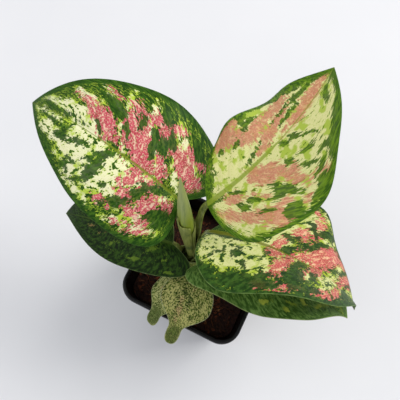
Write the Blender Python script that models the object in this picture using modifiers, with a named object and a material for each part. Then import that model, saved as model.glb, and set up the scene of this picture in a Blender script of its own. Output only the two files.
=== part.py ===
"""Potted Chinese evergreen: a square nursery pot, soil, a short stem, a rolled new leaf and seven leaves.

The pot's sides lie along X and Y, its floor is on z = 0 and its centre is the origin.
Units are metres; angles are degrees, and a heading is measured from +X towards +Y.
"""
import math
import random

import bmesh
import bpy
import numpy as np
from mathutils import Matrix, Vector, geometry

MM = 0.001
OBJECT_NAME = "potted_chinese_evergreen"

# Pot: a tapered square of thin black plastic with a turned-over lip; sides are measured inside
POT_TOP_SIDE = 75.2 * MM
POT_BOTTOM_SIDE = 58 * MM
POT_HEIGHT = 78 * MM
POT_CORNER = 10 * MM
POT_WALL = 1.1 * MM
CORNER_SEGMENTS = 5
LIP_WIDTH = 2.4 * MM
LIP_DROP = 5 * MM
DRAIN_RADIUS = 3.5 * MM
DRAIN_OFFSET = 18 * MM
DRAIN_CUT = 8 * MM

# Soil: fills the pot to 17 mm below the lip
SOIL_TOP = 61 * MM
SOIL_BUMP = 1.1 * MM
SOIL_CELLS = 10
SOIL_RIM = 3 * MM
SOCKET_RADIUS = 8.2 * MM
SOCKET_DEPTH = 14 * MM
CHIP_COUNT = 6

# Everything that touches keeps this gap to its neighbour
GAP = 0.3 * MM

# Stem: short and tapered, leaning back to the left; the rolled new leaf carries on along its axis
STEM_FOOT = Vector((-3.0, -3.0, 60.0)) * MM
STEM_LEAN = Vector((-6.7, 5.7, 85.0)).normalized()
STEM_TOP_Z = 98 * MM
STEM_FOOT_RADIUS = 6.2 * MM
STEM_TOP_RADIUS = 4.4 * MM

# Rolled new leaf: a slim spindle that bends away from the axis near its tip
SPEAR_FOOT_Z = 99 * MM
SPEAR_WIDEST_Z = 152 * MM
SPEAR_TIP_Z = 188 * MM
SPEAR_FOOT_RADIUS = 2.2 * MM
SPEAR_RADIUS = 4.2 * MM
SPEAR_TIP_RADIUS = 0.4 * MM
SPEAR_BEND_FROM_Z = 145 * MM
SPEAR_BEND = Vector((-3.4, 5.9, 0.0)) * MM

# Leaf blades and petioles
BLADE_THICKNESS = 0.8 * MM
SHEATHED_LEAF = "back_left"
SHEATH_TOP_Z = 147 * MM
SHEATH_THICKNESS = 0.8 * MM
SHEATH_HALF_WRAP = 160
SHEATH_OPEN_Z = 132 * MM
SHEATH_MOUTH_WRAP = 115
STALK_HALF_WRAP = 120
STALK_SPREAD = 0.3
MIDRIB_HALF_WRAP = 90
MIDRIB_REACH = 0.8
MIDRIB_END_RADIUS = 0.45 * MM
SMALL_LEAF = 60

# Bezier handles of a blade's outline, as shares of the distance each one spans
BELLY = 0.55
BACK_HANDLE = 0.62
SHOULDER_HANDLE = 0.45
TIP_HANDLE = 0.34
# Veins leave the midrib closer together near the base; the right half's waves run ahead of the left half's
VEIN_CROWDING = 1.15
WAVE_SHIFT = 1.3

# Each leaf, oldest and outermost first. A pair holds the left and the right half, seen along the midrib.
# base, length, width, node, tail and petiole radius are in mm; lobe and widest are shares of the length.
# A tail is the length and the half width of the blunt end of a small leaf.
LEAVES = {
    "small_left": dict(
        base=(-6, -11, 94), heading=-101, turn=4, rise=0, fall=-46, length=41, width=(12, 11),
        widest=(0.40, 0.42), lobe=(0.06, 0.05), tip=(0.1, 0.1), roll=12, twist=3, fold=(6, 7),
        curl=(-20, -21), wave=1.5, phase=0.0, tail=(9, 3.9), node=66, petiole=1.4, side=258,
        colour=(0.30, 0.36, 0.18)),
    "small_front": dict(
        base=(3, -13.5, 100), heading=-86, turn=-3, rise=2, fall=-28, length=41, width=(16, 16),
        widest=(0.37, 0.33), lobe=(0.07, 0.07), tip=(0.1, 0.05), roll=-3, twist=-2, fold=(5, 5),
        curl=(-19, -15), wave=0.5, phase=0.4, tail=(10, 4.0), node=68, petiole=1.4, side=301,
        colour=(0.40, 0.38, 0.22)),
    "lower_left": dict(
        base=(-15.7, -4.3, 120), heading=188, turn=-5, rise=7, fall=-46, length=80, width=(22, 26),
        widest=(0.32, 0.42), lobe=(0.27, -0.02), tip=(0.35, 0.5), roll=-6, twist=-9, fold=(6, 9),
        curl=(-28, -21), wave=0.0, phase=0.0, node=74, petiole=2.0, side=198,
        colour=(0.05, 0.14, 0.05)),
    "lower_right": dict(
        base=(6, -4.5, 116), heading=14, turn=-15, rise=17, fall=-45, length=95, width=(33, 25),
        widest=(0.57, 0.37), lobe=(0.0, 0.23), tip=(0.44, 0.14), roll=-20, twist=5, fold=(14, 24),
        curl=(19, -8), wave=3.1, phase=-0.7, node=78, petiole=2.0, side=-20,
        colour=(0.05, 0.14, 0.05)),
    "right": dict(
        base=(1, 6.5, 138), heading=11, turn=-19, rise=29, fall=-73, length=115, width=(38, 41),
        widest=(0.41, 0.21), lobe=(-0.12, 0.0), belly=(0.22, 0.4), tip=(0.63, 0.05), roll=-29, twist=-19,
        fold=(7, 22), curl=(24, -9), wave=3.8, phase=1.3, node=82, petiole=2.0, side=42,
        colour=(0.38, 0.36, 0.20)),
    "back_right": dict(
        base=(-3.4, 13.4, 161), heading=49, turn=33, rise=42, fall=31, length=90, width=(29, 40),
        widest=(0.29, 0.48), lobe=(-0.10, -0.05), belly=(0.55, 0.5), tip=(0.85, 0.8), roll=-5, twist=-44,
        fold=(22, 6), curl=(-20, 3), wave=-3.8, phase=-0.35, node=90, petiole=2.1, side=77,
        colour=(0.60, 0.52, 0.30)),
    "back_left": dict(
        base=(-17.4, 10.0, 158.2), heading=172, turn=-2, rise=35, fall=-39, length=106, width=(36, 39),
        widest=(0.25, 0.25), lobe=(0.15, 0.21), belly=(0.8, 0.3), tip=(0.4, 0.44), roll=-1, twist=-18,
        fold=(8, 7), curl=(-34, -18), wave=-2.2, phase=0.0, node=99, petiole=2.1, side=150,
        colour=(0.42, 0.30, 0.20)),
}

# Colours, linear
BLACK_PLASTIC = (0.012, 0.012, 0.013)
SOIL_BROWN = (0.020, 0.011, 0.007)
COIR_BROWN = (0.16, 0.065, 0.025)
STEM_GREEN = (0.20, 0.24, 0.10)
SPEAR_GREEN = (0.30, 0.36, 0.16)


def make_material(name, colour, roughness):
    material = bpy.data.materials.new(name)
    material.use_nodes = True
    shader = material.node_tree.nodes["Principled BSDF"]
    shader.inputs["Base Color"].default_value = (*colour, 1.0)
    shader.inputs["Roughness"].default_value = roughness
    shader.inputs["Metallic"].default_value = 0.0
    material.diffuse_color = (*colour, 1.0)
    return material


def add_object(name, mesh, material, collection):
    part = bpy.data.objects.new(name, mesh)
    collection.objects.link(part)
    mesh.materials.clear()
    mesh.materials.append(material)
    return part


def finish_bmesh(name, shape, smooth=True):
    """Close the bmesh into a mesh whose faces point out."""
    bmesh.ops.recalc_face_normals(shape, faces=shape.faces)
    mesh = bpy.data.meshes.new(name)
    shape.to_mesh(mesh)
    shape.free()
    if smooth:
        mesh.shade_smooth()
    return mesh


def smooth_step(t):
    t = min(max(t, 0.0), 1.0)
    return t * t * (3.0 - 2.0 * t)


def along(start, end, t):
    return start + (end - start) * t


def rounded_square(shape, bottom_side, top_side, bottom, top):
    """A tapered box with rounded upright edges, added to the bmesh."""
    made = bmesh.ops.create_cube(shape, size=1.0)
    for vert in made["verts"]:
        side = top_side if vert.co.z > 0 else bottom_side
        vert.co = (vert.co.x * side, vert.co.y * side, top if vert.co.z > 0 else bottom)
    upright = [edge for edge in shape.edges
               if abs(edge.verts[0].co.z - edge.verts[1].co.z) > (top - bottom) / 2]
    bmesh.ops.bevel(shape, geom=upright, offset=POT_CORNER * math.sqrt(2.0), offset_type="WIDTH",
                    segments=CORNER_SEGMENTS, profile=0.5, affect="EDGES")


def make_pot(collection, cutters):
    shape = bmesh.new()
    rounded_square(shape, POT_BOTTOM_SIDE, POT_TOP_SIDE, POT_WALL, POT_HEIGHT)
    lid = [face for face in shape.faces if face.normal.z > 0.9]
    bmesh.ops.delete(shape, geom=lid, context="FACES_ONLY")
    lip_scale = (POT_TOP_SIDE + 2.0 * LIP_WIDTH) / POT_TOP_SIDE
    rim = [edge for edge in shape.edges if edge.is_boundary]
    for scale, drop in ((lip_scale, 0.0), (1.0, LIP_DROP)):
        made = bmesh.ops.extrude_edge_only(shape, edges=rim)
        fresh = [item for item in made["geom"] if isinstance(item, bmesh.types.BMVert)]
        for vert in fresh:
            vert.co = (vert.co.x * scale, vert.co.y * scale, vert.co.z - drop)
        rim = [edge for edge in shape.edges if edge.is_boundary]
    mesh = finish_bmesh("pot", shape, smooth=False)
    pot = add_object("pot", mesh, make_material("black_plastic", BLACK_PLASTIC, 0.35), collection)
    wall = pot.modifiers.new("wall", "SOLIDIFY")
    wall.thickness = POT_WALL
    wall.offset = -1.0
    wall.use_even_offset = True
    for x_sign in (-1, 1):
        for y_sign in (-1, 1):
            bpy.ops.mesh.primitive_cylinder_add(
                vertices=16, radius=DRAIN_RADIUS, depth=DRAIN_CUT,
                location=(x_sign * DRAIN_OFFSET, y_sign * DRAIN_OFFSET, 0.0))
            cutter = bpy.context.object
            cutter.name = f"drain_cutter_{x_sign}_{y_sign}"
            move_to(cutter, cutters)
            hole = pot.modifiers.new("drain", "BOOLEAN")
            hole.operation = "DIFFERENCE"
            hole.object = cutter
    return pot


def move_to(part, collection):
    """Take a cutter out of the scene's collection and hide it from the model."""
    for owner in list(part.users_collection):
        owner.objects.unlink(part)
    collection.objects.link(part)
    part.hide_render = True
    part.display_type = "WIRE"


def make_soil(collection, cutters):
    """A tapered block with an uneven top and a socket for the stem's foot."""
    bottom = POT_WALL + GAP
    slope = (POT_TOP_SIDE - POT_BOTTOM_SIDE) / (POT_HEIGHT - POT_WALL)
    bottom_side = POT_BOTTOM_SIDE - 2.0 * GAP
    top_side = POT_BOTTOM_SIDE + slope * (SOIL_TOP - POT_WALL) - 2.2 * GAP
    shape = bmesh.new()
    rounded_square(shape, bottom_side, top_side, bottom, SOIL_TOP)
    surface = [face for face in shape.faces if face.normal.z > 0.9]
    bmesh.ops.inset_region(shape, faces=surface, thickness=SOIL_RIM)
    half = top_side / 2.0
    for axis in range(2):
        for step in range(1, SOIL_CELLS):
            place = along(-half, half, step / SOIL_CELLS)
            point = [0.0, 0.0, 0.0]
            normal = [0.0, 0.0, 0.0]
            point[axis] = place
            normal[axis] = 1.0
            tops = [face for face in shape.faces
                    if face.normal.z > 0.9 and not any(vert.co.z < SOIL_TOP - GAP for vert in face.verts)]
            inner = [face for face in tops if all(
                max(abs(vert.co.x), abs(vert.co.y)) < half - SOIL_RIM / 2.0 for vert in face.verts)]
            parts = inner + [item for face in inner for item in (*face.edges, *face.verts)]
            bmesh.ops.bisect_plane(shape, geom=list(dict.fromkeys(parts)), dist=1e-6,
                                   plane_co=point, plane_no=normal)
    bmesh.ops.triangulate(shape, faces=shape.faces)
    rough = random.Random(7)
    for vert in shape.verts:
        inside = max(abs(vert.co.x), abs(vert.co.y)) < half - SOIL_RIM - GAP
        if vert.co.z > SOIL_TOP - GAP and inside:
            vert.co.z += rough.uniform(-SOIL_BUMP, SOIL_BUMP)
    mesh = finish_bmesh("soil", shape)
    soil = add_object("soil", mesh, make_material("potting_soil", SOIL_BROWN, 0.95), collection)
    bpy.ops.mesh.primitive_cylinder_add(
        vertices=20, radius=SOCKET_RADIUS, depth=2.0 * SOCKET_DEPTH,
        location=(STEM_FOOT.x, STEM_FOOT.y, SOIL_TOP))
    cutter = bpy.context.object
    cutter.name = "stem_socket_cutter"
    move_to(cutter, cutters)
    hole = soil.modifiers.new("stem_socket", "BOOLEAN")
    hole.operation = "DIFFERENCE"
    hole.object = cutter
    return soil


def make_chips(collection):
    """Coarse bits of coir husk lying on the soil, clear of the stem."""
    material = make_material("coir_chip", COIR_BROWN, 0.9)
    rough = random.Random(21)
    for index in range(CHIP_COUNT):
        turn = math.radians(25 + index * 360 / CHIP_COUNT)
        reach = (19 + 5 * (index % 2)) * MM
        size = Vector((rough.uniform(3.2, 5.5), rough.uniform(1.8, 2.8), rough.uniform(1.2, 1.8))) * MM
        shape = bmesh.new()
        bmesh.ops.create_icosphere(shape, subdivisions=1, radius=0.5)
        for vert in shape.verts:
            vert.co *= rough.uniform(0.85, 1.1)
        bmesh.ops.scale(shape, vec=size, verts=shape.verts)
        bmesh.ops.rotate(shape, verts=shape.verts, cent=(0, 0, 0),
                         matrix=Matrix.Rotation(rough.uniform(0, math.tau), 3, "Z"))
        mesh = finish_bmesh(f"coir_chip_{index + 1}", shape)
        chip = add_object(mesh.name, mesh, material, collection)
        rest_height = SOIL_TOP + SOIL_BUMP + size.z * 0.55 + GAP
        chip.location = (reach * math.cos(turn), reach * math.sin(turn), rest_height)


def axis_point(z):
    """A point on the stem's axis at height z."""
    return STEM_FOOT + STEM_LEAN * ((z - STEM_FOOT.z) / STEM_LEAN.z)


def core_radius(z):
    """Radius of what the sheaths wrap: the stem, then the rolled leaf above it."""
    if z <= STEM_TOP_Z:
        return along(STEM_FOOT_RADIUS, STEM_TOP_RADIUS, (z - STEM_FOOT.z) / (STEM_TOP_Z - STEM_FOOT.z))
    if z <= SPEAR_WIDEST_Z:
        rise = smooth_step((z - SPEAR_FOOT_Z) / (SPEAR_WIDEST_Z - SPEAR_FOOT_Z))
        return along(SPEAR_FOOT_RADIUS, SPEAR_RADIUS, rise)
    taper = (z - SPEAR_WIDEST_Z) / (SPEAR_TIP_Z - SPEAR_WIDEST_Z)
    return along(SPEAR_RADIUS, SPEAR_TIP_RADIUS, taper ** 1.7)


def tapered_tube(name, centres, radii, material, collection):
    """A solid rod along a path whose radius changes, as a bevelled curve turned into a mesh."""
    curve = bpy.data.curves.new(name + "_path", "CURVE")
    curve.dimensions = "3D"
    curve.bevel_depth = 1.0
    curve.bevel_resolution = 2
    curve.use_fill_caps = True
    spline = curve.splines.new("POLY")
    spline.points.add(len(centres) - 1)
    for point, centre, radius in zip(spline.points, centres, radii):
        point.co = (*centre, 1.0)
        point.radius = radius
    path = bpy.data.objects.new(name + "_path", curve)
    collection.objects.link(path)
    bpy.context.view_layer.update()
    evaluated = path.evaluated_get(bpy.context.evaluated_depsgraph_get())
    mesh = bpy.data.meshes.new_from_object(evaluated)
    mesh.name = name
    bpy.data.objects.remove(path)
    shape = bmesh.new()
    shape.from_mesh(mesh)
    bmesh.ops.remove_doubles(shape, verts=shape.verts, dist=0.00001)
    bmesh.ops.recalc_face_normals(shape, faces=shape.faces)
    shape.to_mesh(mesh)
    shape.free()
    mesh.shade_smooth()
    return add_object(name, mesh, material, collection)


def make_stem(collection):
    foot = SOIL_TOP - SOCKET_DEPTH + 5.0 * GAP
    heights = np.linspace(foot, STEM_TOP_Z, 9)
    radii = [min(core_radius(z), STEM_FOOT_RADIUS) for z in heights]
    return tapered_tube("stem", [axis_point(z) for z in heights], radii,
                        make_material("stem_green", STEM_GREEN, 0.5), collection)


def spear_point(z):
    bend = max(z - SPEAR_BEND_FROM_Z, 0.0) / (SPEAR_TIP_Z - SPEAR_BEND_FROM_Z)
    return axis_point(z) + SPEAR_BEND * bend ** 2


def make_spear(collection):
    heights = np.linspace(SPEAR_FOOT_Z, SPEAR_TIP_Z, 16)
    return tapered_tube("new_leaf_rolled", [spear_point(z) for z in heights],
                        [core_radius(z) for z in heights],
                        make_material("new_leaf_green", SPEAR_GREEN, 0.45), collection)


def margin_outline(leaf, half, count):
    """Points along the margin of one half of the flat blade, from its base round to its tip."""
    length = leaf["length"] * MM
    width = leaf["width"][half] * MM
    lobe = leaf["lobe"][half] * length
    belly = leaf.get("belly", (BELLY, BELLY))[half]
    widest = leaf["widest"][half] * length
    tail_length, tail_width = (value * MM for value in leaf.get("tail", (0.0, 0.0)))
    neck = length - tail_length
    rest = neck - widest
    tip_width = tail_width + leaf["tip"][half] * (width - tail_width)
    curves = [
        ((0, 0), (-lobe, belly * width), (widest - BACK_HANDLE * (widest + lobe), width), (widest, width)),
        ((widest, width), (widest + SHOULDER_HANDLE * rest, width), (neck - TIP_HANDLE * rest, tip_width),
         (neck, tail_width))]
    if tail_length:
        curves.append(((neck, tail_width), (neck + tail_length / 2.0, tail_width * 1.1),
                       (length, tail_width), (length, 0)))
    points = [Vector((0, 0))]
    for curve in curves:
        points += geometry.interpolate_bezier(*(Vector(knot) for knot in curve), 24)[1:]
    points = np.array([tuple(point) for point in points])
    run = np.r_[0.0, np.cumsum(np.linalg.norm(np.diff(points, axis=0), axis=1))]
    stops = np.linspace(0.0, run[-1], count)
    return np.stack([np.interp(stops, run, points[:, 0]), np.interp(stops, run, points[:, 1])], -1)


def midrib_frames(leaf, distance):
    """Places on the midrib at distances from the base, with their forward, left and up directions."""
    length = leaf["length"] * MM
    steps = np.linspace(0.0, 1.0, 201)
    pitch = np.radians(along(leaf["rise"], leaf["fall"], steps))
    heading = np.radians(leaf["heading"] + leaf["turn"] * steps)
    forward = np.stack([np.cos(pitch) * np.cos(heading), np.cos(pitch) * np.sin(heading), np.sin(pitch)], -1)
    travel = (forward[1:] + forward[:-1]) / 2.0 * length / 200.0
    centre = np.vstack([np.zeros(3), np.cumsum(travel, 0)]) + np.array(leaf["base"]) * MM
    share = np.clip(distance / length, 0.0, 1.0)
    place = np.stack([np.interp(share, steps, centre[:, k]) for k in range(3)], -1)
    ahead = np.stack([np.interp(share, steps, forward[:, k]) for k in range(3)], -1)
    ahead /= np.linalg.norm(ahead, axis=-1, keepdims=True)
    place += ahead * np.minimum(distance, 0.0)[..., None]
    level = np.cross([0.0, 0.0, 1.0], ahead)
    level /= np.linalg.norm(level, axis=-1, keepdims=True)
    above = np.cross(ahead, level)
    roll = np.radians(leaf["roll"] + leaf["twist"] * share)[..., None]
    left = level * np.cos(roll) + above * np.sin(roll)
    up = above * np.cos(roll) - level * np.sin(roll)
    return place, ahead, left, up


def blade_point(leaf, half, x, y):
    """The flat blade's point (x, y) carried onto the arched, folded and waved blade."""
    place, ahead, left, up = midrib_frames(leaf, x)
    width = leaf["width"][half] * MM
    share = y / width
    fold = math.radians(leaf["fold"][half])
    bend = math.radians(leaf["curl"][half]) - fold
    angle = fold + bend * share
    across = width * (np.sin(angle) - math.sin(fold)) / bend
    lift = width * (math.cos(fold) - np.cos(angle)) / bend
    ripple = leaf["phase"] + 4.0 * math.pi * x / (leaf["length"] * MM) + (WAVE_SHIFT if half else 0.0)
    lift = lift + leaf["wave"] * MM * share ** 2 * np.sin(ripple)
    side = -1.0 if half else 1.0
    return place + left * (side * across)[..., None] + up * lift[..., None]


def make_blade(name, leaf, collection):
    """Both halves as one grid of veins from midrib to margin, thickened with Solidify."""
    small = leaf["length"] < SMALL_LEAF
    stations, veins = (11, 4) if small else (16, 5)
    shape = bmesh.new()
    for half in (0, 1):
        margin = margin_outline(leaf, half, stations)
        start = leaf["length"] * MM * np.linspace(0.0, 1.0, stations) ** VEIN_CROWDING
        reach = np.linspace(0.0, 1.0, veins + 1)
        x = start[:, None] * (1.0 - reach) + margin[:, :1] * reach
        y = margin[:, 1:] * reach
        points = blade_point(leaf, half, x, y)
        rows = [[shape.verts.new(point) for point in row] for row in points]
        for row, following in zip(rows, rows[1:]):
            for k in range(veins):
                corners = (row[k], following[k], following[k + 1], row[k + 1])
                shape.faces.new(corners if half else corners[::-1])
    bmesh.ops.remove_doubles(shape, verts=shape.verts, dist=0.00002)
    mesh = finish_bmesh(name, shape)
    blade = add_object(name, mesh, make_material(name + "_green", leaf["colour"], 0.4), collection)
    skin = blade.modifiers.new("thickness", "SOLIDIFY")
    skin.thickness = BLADE_THICKNESS
    skin.offset = 0.0
    return blade


def petiole_ring(back_point, back, forward, outer, inner, half_wrap, hollow, count=9):
    """One section: an arc on the outer side, closed by an inner arc or by a flat channelled face."""
    across = forward.cross(back).normalized()
    centre = back_point - back * outer
    wrap = math.radians(half_wrap)

    def at(radius, angle):
        return centre + back * (radius * math.cos(angle)) + across * (radius * math.sin(angle))

    ring = [at(outer, along(-wrap, wrap, k / (count - 1))) for k in range(count)]
    first, last = ring[-1], ring[0]
    for k in range(count - 1):
        flat = along(first, last, (k + 0.5) / (count - 1))
        arc = at(inner, along(wrap, -wrap, k / (count - 2)))
        ring.append(flat.lerp(arc, hollow))
    return ring


def sheath_rings(outward):
    """Sections of the sheath that wraps the rolled leaf; its open side widens towards the mouth."""
    rings = []
    for z in np.linspace(SPEAR_FOOT_Z + GAP, SHEATH_TOP_Z, 11):
        inner = core_radius(z) + 2.0 * GAP
        outer = inner + SHEATH_THICKNESS
        opening = smooth_step((z - SHEATH_OPEN_Z) / (SHEATH_TOP_Z - SHEATH_OPEN_Z))
        wrap = along(SHEATH_HALF_WRAP, SHEATH_MOUTH_WRAP, opening)
        rings.append(petiole_ring(axis_point(z) + outward * outer, outward, STEM_LEAN,
                                  outer, inner, wrap, 1.0))
    return rings, axis_point(SHEATH_TOP_Z) + outward * outer, outer


def make_petiole(name, leaf_name, collection):
    """A channelled stalk from the stem to the blade that runs on under the blade as its midrib."""
    leaf = LEAVES[leaf_name]
    sheathed = leaf_name == SHEATHED_LEAF
    small = leaf["length"] < SMALL_LEAF
    stalk = leaf["petiole"] * MM
    side = math.radians(leaf["side"])
    outward = Vector((math.cos(side), math.sin(side), 0.0))
    outward = (outward - STEM_LEAN * outward.dot(STEM_LEAN)).normalized()
    if sheathed:
        rings, start, foot_radius = sheath_rings(outward)
    else:
        node = leaf["node"] * MM
        foot_radius = stalk * 1.2
        depth = foot_radius * (1.0 - math.cos(math.radians(STALK_HALF_WRAP)))
        rings, start = [], axis_point(node) + outward * (core_radius(node) + GAP * 1.5 + depth)

    length = leaf["length"] * MM
    place, ahead, _, up = midrib_frames(leaf, np.array([0.0]))
    under, onward = -Vector(up[0]), Vector(ahead[0])
    clear = BLADE_THICKNESS / 2.0 + GAP * 1.5
    rib_radius = stalk * 0.8
    end = Vector(place[0]) + under * (clear + rib_radius)
    span = (end - start).length
    leave = (STEM_LEAN + outward * STALK_SPREAD).normalized()
    path = geometry.interpolate_bezier(start, start + leave * span * 0.4,
                                       end - onward * span * 0.1, end, 10)
    for k in range(1 if sheathed else 0, len(path) - 1):
        share = k / (len(path) - 1)
        forward = (path[k + 1] - path[max(k - 1, 0)]).normalized()
        back = outward.lerp(under, smooth_step((share - 0.3) / 0.7))
        back = (back - forward * back.dot(forward)).normalized()
        closed = smooth_step((share - 0.3) / 0.6) if sheathed else 1.0
        outer = along(foot_radius, along(stalk, rib_radius, share), closed if sheathed else share)
        wrap = along(SHEATH_MOUTH_WRAP if sheathed else STALK_HALF_WRAP, MIDRIB_HALF_WRAP,
                     smooth_step(share / 0.3) if sheathed else share)
        rings.append(petiole_ring(path[k], back, forward, outer, max(outer - SHEATH_THICKNESS, 0.0),
                                  wrap, 1.0 - closed))

    reach = np.linspace(0.0, MIDRIB_REACH * length, 5 if small else 8)
    place, ahead, _, up = midrib_frames(leaf, reach)
    for k in range(len(reach)):
        radius = along(rib_radius, MIDRIB_END_RADIUS, (k / (len(reach) - 1)) ** 0.8)
        down = -Vector(up[k])
        rings.append(petiole_ring(Vector(place[k]) + down * (clear + radius), down, Vector(ahead[k]),
                                  radius, 0.0, MIDRIB_HALF_WRAP, 0.0))

    shape = bmesh.new()
    loops = [[shape.verts.new(point) for point in ring] for ring in rings]
    for loop, following in zip(loops, loops[1:]):
        for k in range(len(loop)):
            after = (k + 1) % len(loop)
            shape.faces.new((loop[k], loop[after], following[after], following[k]))
    shape.faces.new(loops[0][::-1])
    shape.faces.new(loops[-1])
    bmesh.ops.triangulate(shape, faces=shape.faces)
    mesh = finish_bmesh(name, shape)
    return add_object(name, mesh, make_material(name + "_green", STEM_GREEN, 0.45), collection)


def main():
    for part in list(bpy.data.objects):
        bpy.data.objects.remove(part)
    collection = bpy.data.collections.new(OBJECT_NAME)
    cutters = bpy.data.collections.new("cutters")
    for group in (collection, cutters):
        bpy.context.scene.collection.children.link(group)

    make_pot(collection, cutters)
    make_soil(collection, cutters)
    make_chips(collection)
    make_stem(collection)
    make_spear(collection)
    for leaf_name, leaf in LEAVES.items():
        make_blade("blade_" + leaf_name, leaf, collection)
        make_petiole("petiole_" + leaf_name, leaf_name, collection)


main()
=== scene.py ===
import math
import random

import bmesh
import bpy
import numpy as np
from mathutils import Matrix, Vector, geometry, noise


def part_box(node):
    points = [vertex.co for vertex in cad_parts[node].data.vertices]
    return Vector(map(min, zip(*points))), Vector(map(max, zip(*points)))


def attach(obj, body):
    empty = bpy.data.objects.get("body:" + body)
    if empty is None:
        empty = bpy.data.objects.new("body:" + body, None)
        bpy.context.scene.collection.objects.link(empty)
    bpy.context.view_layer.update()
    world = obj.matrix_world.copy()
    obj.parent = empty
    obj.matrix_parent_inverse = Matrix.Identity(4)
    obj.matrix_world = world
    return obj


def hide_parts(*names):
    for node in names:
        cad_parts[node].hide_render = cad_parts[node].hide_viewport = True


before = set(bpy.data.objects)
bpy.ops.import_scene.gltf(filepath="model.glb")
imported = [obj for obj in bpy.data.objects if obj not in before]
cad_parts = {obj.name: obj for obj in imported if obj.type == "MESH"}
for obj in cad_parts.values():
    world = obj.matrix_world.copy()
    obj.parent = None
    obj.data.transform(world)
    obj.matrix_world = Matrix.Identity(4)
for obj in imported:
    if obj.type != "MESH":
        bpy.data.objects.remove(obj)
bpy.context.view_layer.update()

mm = 0.001
noise.seed_set(4)  # the same leaf pattern every time
print("frame loaded:", len(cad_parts), "nodes")


def tint(colour):
    # screen colour, 0 to 255, to linear light
    parts = []
    for part in colour:
        part = part / 255.0
        parts.append(part / 12.92 if part <= 0.04045 else ((part + 0.055) / 1.055) ** 2.4)
    return (*parts, 1.0)


def smoothStep(t):
    t = min(max(t, 0.0), 1.0)
    return t * t * (3.0 - 2.0 * t)


def between(start, end, t):
    return start + (end - start) * t


class Wire:
    # a node's output that can stand in a sum
    def __init__(self, paint, socket):
        self.paint = paint
        self.socket = socket

    def math(self, operation, *values):
        return self.paint.node("ShaderNodeMath", {"operation": operation}, dict(enumerate(values)))

    def __add__(self, other):
        return self.math("ADD", self, other)

    def __sub__(self, other):
        return self.math("SUBTRACT", self, other)

    def __rsub__(self, other):
        return self.math("SUBTRACT", other, self)

    def __mul__(self, other):
        return self.math("MULTIPLY", self, other)

    __radd__ = __add__
    __rmul__ = __mul__

    def over(self, low, high):
        # 0 below low, 1 above high, an even ease between them
        return self.paint.node("ShaderNodeMapRange", {"interpolation_type": "SMOOTHSTEP"},
                               {"Value": self, "From Min": low, "From Max": high}, "Result")


class Paint:
    # one procedural material, built node by node
    def __init__(self, name, roughness, specular=0.5):
        self.material = bpy.data.materials.new(name)
        self.material.use_nodes = True
        self.tree = self.material.node_tree
        self.shader = self.tree.nodes["Principled BSDF"]
        self.shader.inputs["Specular IOR Level"].default_value = specular
        self.finish("Roughness", roughness)

    def node(self, kind, settings=None, sockets=None, output=0):
        made = self.tree.nodes.new(kind)
        for name, value in (settings or {}).items():
            setattr(made, name, value)
        for key, value in (sockets or {}).items():
            self.feed(made.inputs[key], value)
        return Wire(self, made.outputs[output])

    def feed(self, socket, value):
        if isinstance(value, Wire):
            self.tree.links.new(value.socket, socket)
        else:
            socket.default_value = value

    def finish(self, name, value):
        self.feed(self.shader.inputs[name], value)

    def mix(self, amount, under, over):
        return self.node("ShaderNodeMix", {"data_type": "RGBA"}, {0: amount, 6: under, 7: over}, 2)

    def lay(self, amount, over):
        # one more colour over what is there
        self.colour = self.mix(amount, self.colour, over)

    def attribute(self, name):
        return self.node("ShaderNodeAttribute", {"attribute_name": name}, {}, "Fac")

    def map(self, name):
        return self.node("ShaderNodeUVMap", {"uv_map": name}, {}, "UV")

    def place(self):
        return self.node("ShaderNodeTexCoord", {}, {}, "Object")

    def vector(self, operation, vector, amounts):
        return self.node("ShaderNodeVectorMath", {"operation": operation}, {0: vector, 1: amounts})

    def noise(self, vector, scale, detail=2.0, roughness=0.55, shift=None):
        # scale is one number, or one for each direction
        if isinstance(scale, tuple):
            vector, scale = self.vector("MULTIPLY", vector, scale), 1.0
        if shift:
            vector = self.vector("ADD", vector, shift)
        return self.node("ShaderNodeTexNoise", {}, {"Vector": vector, "Scale": scale, "Detail": detail,
                                                    "Roughness": roughness}, "Fac")

    def cells(self, vector, scale, output="Distance"):
        return self.node("ShaderNodeTexVoronoi", {}, {"Vector": vector, "Scale": scale}, output)

    def bump(self, height, depth, strength=1.0):
        normal = self.node("ShaderNodeBump", {}, {"Height": height, "Distance": depth, "Strength": strength},
                           "Normal")
        self.finish("Normal", normal)


def addPiece(name, mesh, material, nodes=()):
    piece = bpy.data.objects.new(name, mesh)
    bpy.context.scene.collection.objects.link(piece)
    mesh.materials.clear()
    mesh.materials.append(material)
    mesh.shade_smooth()
    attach(piece, "root")
    if nodes:
        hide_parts(*nodes)
    return piece


def meshFrom(name, points, faces):
    mesh = bpy.data.meshes.new(name)
    mesh.from_pydata([tuple(point) for point in points], [], [tuple(face) for face in faces])
    return mesh


def meshOf(name, shape):
    mesh = bpy.data.meshes.new(name)
    shape.to_mesh(mesh)
    shape.free()
    return mesh


def tidyMesh(mesh, weld=0.01 * mm):
    shape = bmesh.new()
    shape.from_mesh(mesh)
    bmesh.ops.remove_doubles(shape, verts=shape.verts, dist=weld)
    bmesh.ops.dissolve_degenerate(shape, edges=shape.edges, dist=weld / 2.0)
    bmesh.ops.recalc_face_normals(shape, faces=shape.faces)
    shape.to_mesh(mesh)
    shape.free()


def paintPoints(mesh, name, values):
    # a number at each point, for the paint to read
    mesh.attributes.new(name, "FLOAT", "POINT").data.foreach_set("value", np.array(values, np.float32))


def hoop(centre, side, other, radii, start=0.0):
    # a ring of points round a centre, with a radius for each
    ring = []
    for j, radius in enumerate(radii):
        turn = start + math.tau * j / len(radii)
        ring.append(centre + (side * math.cos(turn) + other * math.sin(turn)) * radius)
    return ring


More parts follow.
